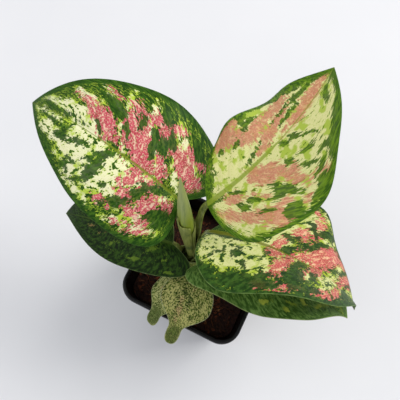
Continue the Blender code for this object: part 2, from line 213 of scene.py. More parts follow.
def loft(rings):
    # faces between equal rings of points, and a flat face at each end
    count = len(rings[0])
    points = [point for ring in rings for point in ring]
    faces = []
    for k in range(len(rings) - 1):
        for j in range(count):
            after = (j + 1) % count
            faces.append((k * count + j, k * count + after, (k + 1) * count + after, (k + 1) * count + j))
    faces.append(tuple(range(count))[::-1])
    faces.append(tuple((len(rings) - 1) * count + j for j in range(count)))
    return points, faces


# lengths in mm, the sides measured inside
pot = dict(topSide=75.2, bottomSide=58.0, height=78.0, wall=1.1, lipWidth=2.4, lipDrop=5.0, corner=10.0,
           smallestCorner=3.0, drainRadius=3.5, drainOffset=18.0, drainDepth=12.0, crease=40.0,
           plastic=(7, 7, 8), dust=(26, 25, 26))


def squareRing(half, z, corner, cornerSteps=10, sideSteps=4):
    # one level of a square with rounded corners
    ring = []

    def add(x, y, turn):
        ring.append((x * math.cos(turn) - y * math.sin(turn), x * math.sin(turn) + y * math.cos(turn), z))

    for quarter in range(4):
        turn = quarter * math.pi / 2.0
        for k in range(cornerSteps + 1):
            angle = math.pi / 2.0 * k / cornerSteps
            x = half - corner + corner * math.cos(angle)
            y = half - corner + corner * math.sin(angle)
            add(x, y, turn)
        for k in range(1, sideSteps):
            add(between(half - corner, corner - half, k / sideSteps), half, turn)
    return [Vector(point) * mm for point in ring]


def potPlastic():
    paint = Paint("blackPlastic", 0.3, 0.26)
    place = paint.place()
    cloud = paint.noise(place, 60.0, 4.0)
    scuff = paint.noise(place, (60.0, 60.0, 900.0), 3.0)
    dust = cloud.over(0.5, 0.75) * 0.5 + scuff.over(0.6, 0.8) * 0.25
    paint.finish("Base Color", paint.mix(dust, tint(pot["plastic"]), tint(pot["dust"])))
    paint.finish("Roughness", 0.16 + 0.2 * cloud + 0.1 * scuff)
    paint.bump(paint.noise(place, 900.0, 3.0) + 2.0 * paint.noise(place, 120.0), 0.06 * mm)
    return paint.material


def makePot():
    inner = pot["topSide"] / 2.0
    floorHalf = pot["bottomSide"] / 2.0
    wall = pot["wall"]
    height = pot["height"]
    outerLip = inner + pot["lipWidth"]
    skirt = height - pot["lipDrop"]

    def innerHalf(z):
        return between(floorHalf, inner, (z - wall) / (height - wall))

    # half the side and the height: under the floor, up the outside, over the lip and down the inside
    profile = [(4.0, 1.0), (floorHalf - 4.0, 1.0), (floorHalf - 3.2, 0.3), (floorHalf - 2.4, 0.0),
               (floorHalf - 0.3, 0.0), (floorHalf + 0.7, 0.4), (innerHalf(2.0) + wall, 2.0)]
    profile += [(innerHalf(z) + wall, z) for z in (3.0, 20.0, 40.0, 60.0, skirt - 1.0)]
    profile += [(innerHalf(skirt) + wall + 0.1, skirt), (outerLip - 0.5, skirt), (outerLip - 0.1, skirt + 0.3),
                (outerLip, skirt + 0.9), (outerLip, height - 1.1), (outerLip - 0.15, height - 0.45),
                (outerLip - 0.55, height - 0.1), (outerLip - 1.0, height), (inner + 0.9, height),
                (inner + 0.35, height - 0.15), (inner, height - 0.6), (innerHalf(height - 2.0), height - 2.0)]
    profile += [(innerHalf(z), z) for z in (60.0, 40.0, 20.0, 4.0)]
    profile += [(floorHalf + 0.1, 2.6), (floorHalf - 0.6, 2.1), (4.0, 2.1)]
    rings = []
    for half, z in profile:
        cornerHere = min(max(pot["corner"] + (half - inner), pot["smallestCorner"]), half)
        rings.append(squareRing(half, z, cornerHere))
    points, faces = loft(rings)
    mesh = meshFrom("potShell", points, faces)
    tidyMesh(mesh)
    shell = addPiece("potShell", mesh, potPlastic(), ["pot"])
    cutters = []
    for xSign in (-1, 1):
        for ySign in (-1, 1):
            bpy.ops.mesh.primitive_cylinder_add(
                vertices=32, radius=pot["drainRadius"] * mm, depth=pot["drainDepth"] * mm,
                location=(xSign * pot["drainOffset"] * mm, ySign * pot["drainOffset"] * mm, 0.0))
            cutters.append(bpy.context.object)
            hole = shell.modifiers.new("drain", "BOOLEAN")
            hole.object = cutters[-1]
    bakeModifiers(shell)
    for cutter in cutters:
        bpy.data.objects.remove(cutter)
    shell.data.shade_smooth()
    edges = shell.modifiers.new("creases", "EDGE_SPLIT")
    edges.split_angle = math.radians(pot["crease"])
    bakeModifiers(shell)


def bakeModifiers(piece):
    bpy.context.view_layer.update()
    evaluated = piece.evaluated_get(bpy.context.evaluated_depsgraph_get())
    mesh = bpy.data.meshes.new_from_object(evaluated)
    old = piece.data
    piece.modifiers.clear()
    piece.data = mesh
    bpy.data.meshes.remove(old)


# lengths in mm; a size given as a pair lies at random between the two
soil = dict(top=61.0, foot=3.0, gap=0.4, levels=52, stemAt=(-3.0, -3.0), clearOfStem=7.5, heap=1.2,
            lumps=((9.0, 0.9), (2.6, 0.55), (0.9, 0.28)), crumbs=420,
            crumbSize=(0.7, 2.4), fibres=150, fibreLength=(4.0, 13.0), fibreRadius=(0.09, 0.2),
            fibreLift=(0.2, 1.3), fibreSteps=9, fibreSides=5,
            dark=(30, 15, 11), brown=(60, 31, 21), husk=(118, 60, 32),
            strand=(122, 72, 42), crumb=((38, 20, 14), (84, 44, 28)), chip=(70, 36, 20),
            fibre=((92, 50, 28), (186, 128, 80)))


def soilHalf(z):
    share = (z - pot["wall"]) / (pot["height"] - pot["wall"])
    return between(pot["bottomSide"], pot["topSide"], share) / 2.0 - soil["gap"]


def fromStem(x, y):
    # distance in mm of a place on the soil from the stem
    return math.hypot(x / mm - soil["stemAt"][0], y / mm - soil["stemAt"][1])


def soilHeight(x, y):
    # crumbly top, a little higher against the stem
    place = Vector((x, y, 0.0))
    rough = sum(noise.noise(place / (span * mm)) * depth for span, depth in soil["lumps"])
    heap = soil["heap"] * math.exp(-fromStem(x, y) ** 2 / 180.0)
    return (soil["top"] + 0.3 + rough + heap) * mm


def soilPaint(name, dark, light, husk):
    paint = Paint(name, 0.9, 0.25)
    place = paint.place()
    grain = paint.noise(place, 420.0, 5.0, 0.7)
    patch = paint.noise(place, 130.0, 3.0)
    bits = paint.cells(place, 620.0, "Color")
    bright = paint.node("ShaderNodeSeparateColor", {}, {"Color": bits}, "Red")
    paint.colour = paint.mix(grain.over(0.35, 0.75), tint(dark), tint(light))
    paint.lay(bright.over(0.80, 0.98) * patch.over(0.42, 0.62), tint(husk))
    paint.finish("Base Color", paint.colour)
    paint.finish("Roughness", 0.78 + 0.2 * grain)
    paint.bump(grain + 0.6 * paint.noise(place, 1500.0, 2.0), 0.5 * mm)
    return paint.material


def makeSoil():
    top = soil["top"] * mm
    levels = soil["levels"]
    outline = squareRing(soilHalf(soil["top"]), soil["top"], pot["corner"] - 1.5, 44, 6)
    foot = squareRing(soilHalf(soil["foot"]), soil["foot"], pot["corner"] - 3.0, 44, 6)
    around = len(outline)
    points = [Vector((0.0, 0.0, soilHeight(0.0, 0.0)))]
    for level in range(1, levels + 1):
        share = level / levels
        fade = smoothStep((1.0 - share) * 12.0)
        for edge in outline:
            x, y = edge.x * share, edge.y * share
            points.append(Vector((x, y, between(top, soilHeight(x, y), fade))))
    points += foot
    faces = [(0, 1 + j, 1 + (j + 1) % around) for j in range(around)]
    for level in range(levels):
        for j in range(around):
            after = (j + 1) % around
            first = 1 + level * around
            faces.append((first + j, first + around + j, first + around + after, first + after))
    faces.append(tuple(1 + levels * around + j for j in range(around))[::-1])
    mesh = meshFrom("soilBed", points, faces)
    tidyMesh(mesh, 0.002 * mm)
    material = soilPaint("pottingSoil", soil["dark"], soil["brown"], soil["husk"])
    addPiece("soilBed", mesh, material, ["soil"])


def onSoil(rough, reachShare=0.9):
    # a random place on the soil, clear of the stem
    half = soilHalf(soil["top"]) * mm * reachShare
    while True:
        x, y = rough.uniform(-half, half), rough.uniform(-half, half)
        if fromStem(x, y) > soil["clearOfStem"]:
            return x, y


def addLump(shape, rough, centre, size, levels):
    # a ball made uneven, pressed to size and turned at random
    verts = bmesh.ops.create_icosphere(shape, subdivisions=levels, radius=0.5)["verts"]
    seed = Vector((rough.uniform(0, 50), rough.uniform(0, 50), rough.uniform(0, 50)))
    for vert in verts:
        vert.co *= 1.0 + 0.55 * noise.noise(vert.co * 2.6 + seed)
    bmesh.ops.scale(shape, vec=size, verts=verts)
    turn = Matrix.Rotation(rough.uniform(0, math.tau), 3, "Z")
    turn = turn @ Matrix.Rotation(rough.uniform(-0.5, 0.5), 3, "X")
    bmesh.ops.rotate(shape, verts=verts, cent=(0, 0, 0), matrix=turn)
    bmesh.ops.translate(shape, verts=verts, vec=centre)


def makeCrumbs():
    rough = random.Random(11)
    shape = bmesh.new()
    for _ in range(soil["crumbs"]):
        x, y = onSoil(rough)
        size = rough.uniform(*soil["crumbSize"])
        flat = Vector((size * rough.uniform(0.8, 1.5), size, size * rough.uniform(0.5, 0.9))) * mm
        addLump(shape, rough, (x, y, soilHeight(x, y) + flat.z * 0.15), flat, 2)
    material = soilPaint("soilCrumb", *soil["crumb"], soil["husk"])
    addPiece("soilCrumbs", meshOf("soilCrumbs", shape), material)


def makeChips():
    rough = random.Random(21)
    material = soilPaint("coirHusk", soil["chip"], soil["husk"], soil["strand"])
    for index in range(6):
        node = f"coir_chip_{index + 1}"
        low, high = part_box(node)
        centre = (low + high) / 2.0
        size = high - low
        shape = bmesh.new()
        addLump(shape, rough, (0.0, 0.0, 0.0), (size.x * 0.98, size.y * 0.9, size.z * 0.95), 3)
        place = Vector((centre.x, centre.y, soilHeight(centre.x, centre.y) + size.z * 0.35))
        bmesh.ops.translate(shape, verts=shape.verts, vec=place)
        name = f"huskChip{index + 1}"
        addPiece(name, meshOf(name, shape), material, [node])


def makeFibres():
    # short strands of coir that lie on the soil in loose arcs
    rough = random.Random(5)
    steps = soil["fibreSteps"]
    half = soilHalf(soil["top"]) * mm - 1.5 * mm
    points, faces = [], []
    for _ in range(soil["fibres"]):
        x, y = onSoil(rough, 0.84)
        heading = rough.uniform(0, math.tau)
        bend = rough.uniform(-1.2, 1.2)
        length = rough.uniform(*soil["fibreLength"]) * mm
        radius = rough.uniform(*soil["fibreRadius"]) * mm
        lift = rough.uniform(*soil["fibreLift"]) * mm
        rings = []
        for k in range(steps):
            share = k / (steps - 1)
            angle = heading + bend * share
            x = min(max(x + math.cos(angle) * length / steps, -half), half)
            y = min(max(y + math.sin(angle) * length / steps, -half), half)
            z = soilHeight(x, y) + radius + lift * math.sin(math.pi * share)
            thick = radius * (0.4 + 0.6 * math.sin(math.pi * (0.1 + 0.8 * share)))
            side = Vector((-math.sin(angle), math.cos(angle), 0.0))
            rings.append(hoop(Vector((x, y, z)), side, Vector((0.0, 0.0, 1.0)), [thick] * soil["fibreSides"]))
        newPoints, newFaces = loft(rings)
        faces += [tuple(index + len(points) for index in face) for face in newFaces]
        points += newPoints
    mesh = meshFrom("coirFibres", points, faces)
    tidyMesh(mesh, 0.001 * mm)
    dark, light = soil["fibre"]
    addPiece("coirFibres", mesh, soilPaint("coirStrand", dark, soil["strand"], light))


# lengths in mm: foot is where the stem leaves the soil, scars are the heights of its leaf scars
stem = dict(foot=(-3.0, -3.0, 60.0), lean=(-6.7, 5.7, 85.0), top=98.0, footRadius=6.2, topRadius=4.4,
            buried=48.5, levels=120, around=40, scars=(66.0, 68.0, 74.0, 78.0, 82.0, 90.0),
            scarWidth=0.7, scarHeight=0.3, inside=0.15, uneven=0.03, green=(112, 124, 62),
            pale=(138, 144, 84), dark=(74, 86, 42), scar=(84, 74, 44))
# the new leaf, still rolled
spear = dict(foot=99.0, widest=152.0, tip=188.0, footRadius=2.2, radius=4.05, tipRadius=0.4, taper=1.7,
             bendFrom=145.0, bend=(-3.4, 5.9, 0.0), levels=110, around=56, seamFrom=-62.0, seamTurn=150.0,
             edgeStep=0.1, pale=(152, 164, 100), yellow=(138, 154, 50), shade=(80, 104, 50),
             edge=(184, 192, 128))

stemFoot = Vector(stem["foot"]) * mm
stemLean = Vector(stem["lean"]).normalized()


def axisPoint(z):
    # a point on the stem's axis, z in mm
    return stemFoot + stemLean * ((z * mm - stemFoot.z) / stemLean.z)


def coreRadius(z):
    # radius in mm of what the sheaths wrap: the stem, then the rolled leaf above it
    if z <= stem["top"]:
        foot = stem["foot"][2]
        return between(stem["footRadius"], stem["topRadius"], (z - foot) / (stem["top"] - foot))
    if z <= spear["widest"]:
        rise = smoothStep((z - spear["foot"]) / (spear["widest"] - spear["foot"]))
        return between(spear["footRadius"], spear["radius"], rise)
    taper = (z - spear["widest"]) / (spear["tip"] - spear["widest"])
    return between(spear["radius"], spear["tipRadius"], taper ** spear["taper"])


def acrossAxis():
    side = stemLean.cross(Vector((0.0, 1.0, 0.0))).normalized()
    return side, stemLean.cross(side).normalized()


def stalkPaint(name, green, pale, dark, scar=None):
    # fibrous green stalk: fine stripes along it, paler flecks, darker blotches
    paint = Paint(name, 0.42, 0.25)
    place = paint.place()
    stripes = paint.noise(place, (900.0, 900.0, 108.0), 3.0)
    patch = paint.noise(place, (160.0, 160.0, 64.0), 3.0)
    flecks = paint.noise(place, (700.0, 700.0, 245.0))
    paint.colour = paint.mix(stripes.over(0.3, 0.7), tint(green), tint(pale))
    paint.lay(patch.over(0.5, 0.68) * 0.8, tint(dark))
    paint.lay(flecks.over(0.62, 0.7) * 0.5, tint(pale))
    if scar:
        rings = paint.attribute("scar")
        paint.lay(rings.over(0.3, 0.8), tint(scar))
    paint.finish("Base Color", paint.colour)
    paint.finish("Roughness", 0.36 + 0.2 * patch)
    paint.bump(stripes + 0.5 * patch, 0.12 * mm)
    return paint.material


def makeStem():
    side, other = acrossAxis()
    rings, scars = [], []
    levels, around = stem["levels"], stem["around"]
    for k in range(levels):
        z = between(stem["buried"], stem["top"], k / (levels - 1))
        swell = min(sum(math.exp(-((z - scar) / stem["scarWidth"]) ** 2) for scar in stem["scars"]), 1.0)
        radius = min(coreRadius(max(z, stem["foot"][2])), stem["footRadius"]) - stem["inside"]
        radius += stem["scarHeight"] * swell
        radii = []
        for j in range(around):
            turn = math.tau * j / around
            lump = noise.noise(Vector((math.cos(turn), math.sin(turn), z / 6.0)))
            radii.append(radius * (1.0 + stem["uneven"] * lump) * mm)
        rings.append(hoop(axisPoint(z), side, other, radii))
        scars += [swell] * around
    points, faces = loft(rings)
    mesh = meshFrom("stemCane", points, faces)
    paintPoints(mesh, "scar", scars)
    tidyMesh(mesh, 0.001 * mm)
    material = stalkPaint("stemGreen", stem["green"], stem["pale"], stem["dark"], stem["scar"])
    addPiece("stemCane", mesh, material, ["stem"])


def spearPoint(z):
    bend = max(z - spear["bendFrom"], 0.0) / (spear["tip"] - spear["bendFrom"])
    return axisPoint(z) + Vector(spear["bend"]) * mm * bend ** 2


def spearPaint():
    paint = Paint("newLeafGreen", 0.4, 0.3)
    turns = paint.map("spearMap")
    around, high = (paint.node("ShaderNodeSeparateXYZ", {}, {"Vector": turns}, axis) for axis in "XY")
    streaks = paint.noise(turns, (26.0, 7.0, 1.0), 3.0)
    blotch = paint.noise(turns, (7.0, 5.0, 1.0), 3.0)
    paint.colour = paint.mix(high.over(0.62, 0.82), tint(spear["yellow"]), tint(spear["pale"]))
    paint.lay(streaks.over(0.5, 0.72) * 0.55, tint(spear["shade"]))
    paint.lay(blotch.over(0.55, 0.72) * 0.6, tint(spear["shade"]))
    seam = (1.0 - around.over(0.0, 0.05)) + around.over(0.94, 0.985)
    paint.lay(seam * 0.6, tint(spear["edge"]))
    paint.finish("Base Color", paint.colour)
    paint.finish("Roughness", 0.36 + 0.18 * blotch)
    paint.bump(streaks, 0.15 * mm)
    return paint.material


def makeRolledLeaf():
    # a spiral roll: the free edge stands a little proud of the turn beneath it
    side, other = acrossAxis()
    levels, around = spear["levels"], spear["around"]
    rings, spearMap = [], []
    for k in range(levels):
        share = k / (levels - 1)
        z = between(spear["foot"], spear["tip"], share)
        seam = math.radians(spear["seamFrom"] + spear["seamTurn"] * share)
        radii = []
        for j in range(around):
            along = j / (around - 1)
            turn = seam + math.tau * j / around
            spiral = 1.0 - spear["edgeStep"] * (1.0 - along)
            ripple = 1.0 + 0.02 * math.sin(5.0 * turn + 9.0 * share)
            radii.append(coreRadius(z) * mm * spiral * ripple)
            spearMap.append((along, share))
        rings.append(hoop(spearPoint(z), side, other, radii, seam))
    points, faces = loft(rings)
    mesh = meshFrom("rolledNewLeaf", points, faces)
    layer = mesh.uv_layers.new(name="spearMap")
    for loop in mesh.loops:
        layer.data[loop.index].uv = spearMap[loop.vertex_index]
    tidyMesh(mesh, 0.002 * mm)
    addPiece("rolledNewLeaf", mesh, spearPaint(), ["new_leaf_rolled"])


# base, length, width and node are in mm; a pair holds the left and the right half, seen along the midrib.
leaves = {
    "small_left": dict(
        base=(-6, -11, 94), heading=-101, turn=4, rise=0, fall=-46, length=41, width=(12, 11),
        widest=(0.40, 0.42), lobe=(0.06, 0.05), tip=(0.1, 0.1), roll=12, twist=3, fold=(6, 7),
        curl=(-20, -21), wave=1.5, phase=0.0, tail=(9, 3.9), node=66, petiole=1.4, side=258),
    "small_front": dict(
        base=(3, -13.5, 100), heading=-86, turn=-3, rise=2, fall=-28, length=41, width=(16, 16),
        widest=(0.37, 0.33), lobe=(0.07, 0.07), tip=(0.1, 0.05), roll=-3, twist=-2, fold=(5, 5),
        curl=(-19, -15), wave=0.5, phase=0.4, tail=(10, 4.0), node=68, petiole=1.4, side=301),
    "lower_left": dict(
        base=(-15.7, -4.3, 120), heading=188, turn=-5, rise=7, fall=-46, length=80, width=(22, 26),
        widest=(0.32, 0.42), lobe=(0.37, -0.02), tip=(0.35, 0.5), roll=-6, twist=-9, fold=(6, 9),
        curl=(-28, -21), wave=0.0, phase=0.0, node=74, petiole=2.0, side=198),
    "lower_right": dict(
        base=(6, -4.5, 116), heading=14, turn=-15, rise=17, fall=-45, length=95, width=(33, 25),
        widest=(0.57, 0.37), lobe=(0.0, 0.23), tip=(0.44, 0.14), roll=-20, twist=5, fold=(14, 24),
        curl=(19, -8), wave=3.1, phase=-0.7, node=78, petiole=2.0, side=-20),
    "right": dict(
        base=(1, 6.5, 138), heading=11, turn=-19, rise=29, fall=-73, length=115, width=(38, 41),
        widest=(0.41, 0.21), lobe=(-0.09, 0.0), belly=(0.32, 0.4), tip=(0.63, 0.05), roll=-29, twist=-19,
        fold=(7, 22), curl=(24, -9), wave=3.8, phase=1.3, node=82, petiole=2.0, side=42),
    "back_right": dict(
        base=(-3.4, 13.4, 161), heading=49, turn=33, rise=42, fall=31, length=90, width=(29, 40),
        widest=(0.29, 0.48), lobe=(-0.10, -0.03), belly=(0.55, 0.58), tip=(0.85, 0.8), blunt=(0.34, 0.32),
        roll=-5, twist=-44, fold=(22, 6), curl=(-20, -1), wave=-3.8, phase=-0.35, node=90,
        petiole=2.1, side=77),
    "back_left": dict(
        base=(-17.4, 10.0, 158.2), heading=172, turn=-2, rise=35, fall=-39, length=106, width=(36, 39),
        widest=(0.25, 0.25), lobe=(0.15, 0.285), belly=(0.8, 0.62), tip=(0.36, 0.3), blunt=(0.24, 0.22),
        roll=-1, twist=-18, fold=(8, 7), curl=(-34, -18), wave=-2.2, phase=0.0, node=99, petiole=2.1, side=150),
}

# Each patch of colour is a long spot on the flat blade: x along the midrib, y to the left of it,
# half its length and half its width in mm, and its turn from the midrib in degrees.
# ragged is how far a patch's edge strays in mm, islands how rare and how fine the green islands in the
# cream are, sweep how far the streaks run on towards the tip, in widths, and band the green at the margin.
lowerLeaf = dict(ribWidth=(1.8, 0.6), ribFade=0.8, sweep=(0.7, 0.7), ragged=6.0, islands=(0.7, 5.0),
                 pinkCover=0.8, band=1.0)
smallLeaf = dict(rib=(104, 120, 50), ribWidth=(0.9, 0.4), ribFade=0.8, speckle=1.0, sweep=(0.5, 0.5),
                 ragged=7.0, islands=(0.58, 7.0), pinkCover=0.85, band=0.4, mottle=0.8)
leafColours = {}
leafColours["back_left"] = dict(
    ground=(28, 64, 8), groundLight=(64, 102, 22), cream=(232, 230, 186), creamEdge=(176, 200, 62),
    pink=(200, 76, 96), pinkDeep=(168, 54, 62), fleck=(240, 208, 178), rib=(112, 128, 30), ribWidth=(1.3, 0.5),
    ribFade=0.55, edge=(70, 110, 40), speckle=0.7, sweep=(0.5, 1.0), ragged=13.0, islands=(0.56, 3.4),
    pinkCover=0.95, band=2.6,
    creamSpots=[
        (36, 12, 13, 9.5, 84), (43, 18, 9, 8, 10), (58, 12, 13, 9.5, 4), (54, 21, 8, 4.5, 10),
        (58, 1, 14, 7.5, -10), (79, 9, 12, 4.2, -12), (90, 1.6, 18, 2.4, -1), (72, -6, 15, 4.6, 6),
        (90, -5.5, 12, 2.0, 8), (48, 27.5, 12, 2.6, -8), (65, 18, 9, 2.4, -8), (23, 7, 9, 3.6, 60),
        (8, 6, 8, 2.4, 52), (12, 21, 12, 2.6, 14), (6, 24, 9, 3, 30), (20, 28.5, 9, 2, 24),
        (33, -15, 8, 3.4, -80), (17, -24, 10, 4, -58), (36.5, -28, 5, 2.6, -50), (49, -24, 6, 2, -66),
        (23, -8, 11, 1.8, -52), (43, -9.5, 10, 1.6, -58), (6, -18, 8, 2.4, -34), (56, -21, 7, 1.8, -20),
        (68, -15, 9, 2.6, -4), (8, -6, 8, 2, -45), (28, 20, 6, 2.4, 40)],
    pinkSpots=[
        (27, 8, 8.5, 3.4, 62), (17.5, 5, 4.6, 3.6, 30), (4, 7.5, 5, 4.2, 60), (23, 15.5, 6.5, 4.2, 40),
        (12, 13, 8, 4.6, 78), (8, 20, 5, 3.6, 60), (16, 20, 7, 2.8, 15), (32, 24.5, 6.5, 3, 12),
        (8, 27, 7, 2.4, 32), (18, 28, 7, 1.9, 20), (24, 3, 8, 1.9, 6), (20, 9, 4, 2.0, 30),
        (31.5, -8.5, 13, 6.4, -52), (40, -12, 12, 5.4, -50), (26, -3, 12, 3, -10), (18, -5.5, 9, 3.6, -48),
        (42, -23, 9, 3.6, -18), (53, -8.5, 10, 5.2, -34), (60, -10, 6, 4, -12), (68, -14, 8, 2.6, -6),
        (7, -13, 13, 5, -36), (15, -17, 7, 4.4, -16), (9, -21.5, 7, 3.4, -30), (26.5, -22.5, 6.5, 4.6, -72),
        (33.5, -24.5, 5, 3.2, -60), (22, -27.5, 4.5, 3, 10), (-2, -12, 5, 3.6, -30), (0, -21, 5, 2.6, 0),
        (44, -5, 9, 2.2, -36), (50, -1.6, 6, 1.6, -14), (58, -24, 6, 1.4, -14)],
    greenSpots=[
        (44.5, 14, 8, 3.4, 74), (45, 5.5, 6, 1.9, 36), (50, 11.5, 3.4, 1.6, 20), (60, 7.4, 6, 1.9, 14),
        (71, 9, 5, 2.6, 10), (50, 23.5, 5, 1.4, 18), (58, 16.8, 6, 1.2, 6), (35, 17.5, 2.2, 1.0, 0),
        (25.5, 20.5, 7.5, 2.6, 38), (19, 10, 5.5, 2.4, 54), (12.5, 3.6, 8, 1.8, 20), (2, 15, 6, 3.4, 70),
        (27.5, -13, 9, 2.6, -62), (42, -11, 5, 1.4, -55), (24, -16, 5, 2.6, -60), (54, -4.5, 6, 1.5, -38),
        (82, -2.6, 13, 1.5, -2), (83, 3.9, 11, 1.3, -4), (93, -0.2, 9, 0.6, 0), (70, 3.6, 4, 1.1, 16),
        (38.5, -19.5, 5, 1.8, -46), (6, 14, 7, 2.6, 62), (29, -28, 6, 2.2, -40), (53, -18, 8, 3.4, -20),
        (7, -26, 8, 3, -30), (21, -20, 5, 2.4, -50), (78, 15.5, 8, 2.0, -20), (64, -2.4, 3, 1, -30),
        (60.5, 21.5, 5, 1.6, -10), (2, -4.4, 4, 1.4, -50)])
leafColours["back_right"] = dict(
    ground=(52, 90, 12), groundLight=(108, 146, 26), cream=(234, 232, 160), creamEdge=(180, 202, 76),
    pink=(214, 130, 108), pinkDeep=(190, 90, 80), fleck=(234, 184, 138), rib=(146, 166, 52),
    ribWidth=(2.6, 0.8), ribFade=0.6, edge=(76, 110, 40), speckle=0.4, sweep=(-0.2, 1.0), ragged=11.0,
    islands=(0.625, 3.8), pinkCover=0.85, band=1.6, allCream=True, soft=1.2, sheen=34.0,
    pinkSpots=[
        (26, 23, 12, 6.5, -14), (34, 17, 13, 5.0, -34), (45, 13, 10, 4.8, 16), (58, 15, 13, 4.6, 0),
        (52, 7, 14, 4.0, 14), (72, 1.8, 19, 4.2, 3), (37, 25, 6, 3, -20), (16, -7, 8, 3.6, -38),
        (35, -8, 12, 5.4, -46), (42, -12, 8, 4.6, -50), (48, -17.5, 5, 3.6, -45), (47, -22.5, 8, 2.8, -48),
        (13, -15, 12, 3.0, -42), (22, -22, 13, 3.4, -42), (30, -27, 11, 4.0, -38), (33, -33, 8, 4.2, -32),
        (38, -28, 5, 3, -30), (54, -29.5, 6, 2.4, -10), (46, -34, 3.4, 2.6, 0), (59, -33, 4, 2.6, -40),
        (32, -19, 4, 2.0, -42), (42, 4, 6, 2.4, 10), (10, 16, 4, 1.6, 62), (26, -13, 5, 1.4, -42)],
    greenSpots=[
        (13, 14.5, 5, 1.2, 86), (9, 8, 6.5, 1.5, 56), (5, 4.6, 7, 1.8, 56), (21, 18, 2.2, 1.6, 0),
        (32, 14.2, 2.8, 1.5, 40), (36, 4.2, 6, 1.2, 20), (41.5, 24, 5, 3.2, 80), (44, 18.6, 5, 1.8, 8),
        (58, 24.5, 13, 3.4, -20), (68, 17, 11, 2.8, -38), (73, 7.6, 9, 2.0, -8), (62, 5.6, 7, 1.3, 4),
        (81, 6.0, 10, 1.0, -22), (86, 3, 4, 1.4, -32), (41, -23, 9, 2.4, -52), (39.5, -34, 4.4, 3.4, -40),
        (48.5, -13, 2.8, 2.0, -50), (57, -5.5, 4.4, 1.8, -50), (59, -17.5, 7, 1.3, -28), (64, -13, 5, 1.3, -60),
        (55, -23, 6, 1.4, -50), (66, -26, 6, 1.4, -20), (26, -15.5, 4.4, 1.6, -30), (20, -14.5, 4.4, 1.6, -42),
        (51, -4, 4.2, 1.4, -52), (79.5, -6, 4.4, 2.0, 60), (84, -11, 7, 1.4, 62), (76, -20.5, 8, 2.8, 46),
        (69, -28, 8, 2.8, 36), (18, -5, 5, 1.2, -36), (36, -23, 5, 1.3, -20), (55, -35.5, 9, 2.4, 0),
        (58, -29, 5, 1.5, 10), (54, -34, 4, 2.4, 30), (3, -1.4, 9, 1.4, -8), (29, -25, 5, 1.0, -36),
        (76, 12.5, 5, 1.8, -30), (60, 9.5, 6, 0.9, 2), (82, -3, 5, 0.9, 10)])
leafColours["right"] = dict(
    ground=(28, 56, 14), groundLight=(58, 92, 30), cream=(214, 216, 148), creamEdge=(166, 186, 52),
    pink=(204, 78, 88), pinkDeep=(176, 58, 58), fleck=(242, 206, 162), rib=(108, 112, 30), ribWidth=(3.2, 0.7),
    ribFade=0.42, edge=(112, 138, 70), speckle=0.8, sweep=(1.1, -0.1), ragged=12.0, islands=(0.56, 2.7),
    pinkCover=0.92, band=1.4,
    creamSpots=[
        (17, -14, 18, 14, -10), (30, -20, 12, 6.5, -88), (5, -18, 15, 4.4, -66), (50, -3, 10, 2.8, 68),
        (66, -8, 13, 4.4, 56), (72, -2, 9, 4.0, 48), (36, 8, 19, 8, 42), (56, 26, 9, 6.5, 24),
        (48, 19, 9, 5, 34), (88, 15, 10, 2.6, 34), (98, 3.2, 16, 2.0, 18), (20, 20, 18, 10, 40),
        (30, 30, 14, 6, 20), (53, -17, 8, 2.4, 66), (19, -34, 6, 1.8, 80), (72, 23, 12, 2.4, 26),
        (60, -20, 9, 1.8, 50), (79, -6, 12, 2.2, 46), (40, -12, 12, 2.0, 76), (66, 33, 8, 2, -8),
        (58, 2.5, 8, 1.8, 20), (62, 9, 14, 1.6, 30), (82, 8, 12, 1.6, 24), (56, -26, 7, 1.8, 34)],
    pinkSpots=[
        (39, 5, 8, 3.0, 56), (37, -4, 7, 4.8, 80), (45, -7, 9, 2.8, 76), (40, -18, 13, 3.6, 74),
        (54, 2.6, 14, 2.8, 24), (70, 12, 21, 6.4, 32), (94, 19.5, 15, 3.8, 16), (96, 9.5, 17, 4.4, 22),
        (60, -4, 11, 3.8, 62), (69, -16, 11, 2.8, 54), (34, -34.5, 4, 3.0, 60), (40.5, -36, 4.5, 1.8, 10),
        (58, -25.5, 9, 2.6, 38), (50, -18, 7, 2.2, 70), (50, 16.5, 7, 4.2, 40), (58, 32.5, 7, 2.6, -20),
        (61, 27, 5, 3.4, 20), (60, 19.5, 7, 2.4, 40), (80, -2, 12, 1.8, 44), (45, -31, 6, 2.6, 20),
        (80, 20, 10, 2.6, 24), (66, 2, 9, 2.2, 40), (52, 8, 8, 1.6, 34), (84, 3, 10, 2, 26)],
    greenSpots=[
        (58, 23, 7, 2.0, -45), (62, 15, 11, 1.7, 33), (44, 3, 4, 2.0, 30), (43, 11, 3.4, 2.2, 0),
        (70, 26.5, 12, 2.0, 22), (46.5, -23, 10, 4.0, 78), (49, -9, 9, 2.0, 68), (88, 11.5, 9, 1.4, 28),
        (78, -10, 12, 2.2, 48), (71, -22, 12, 2.6, 40), (28, -34, 12, 4.6, 2), (10, -33, 12, 4.8, -30),
        (34, -29, 6, 2.2, 40), (56, -14, 9, 1.6, 64), (12, -2.0, 12, 2.2, -4), (94, 6.2, 12, 1.0, 20),
        (56, 10.5, 9, 1.3, 34), (21, -15, 6, 1.7, 88), (13, -19, 6, 1.1, 60), (26, -22, 5, 1.1, 80),
        (52, -28, 7, 2.4, 30), (47, 12, 6, 1.6, 40), (64, -13, 5, 0.9, 60), (78, 8, 7, 0.9, 30),
        (62, -1, 4, 0.8, 60), (34, -8, 4, 1.1, 80)])
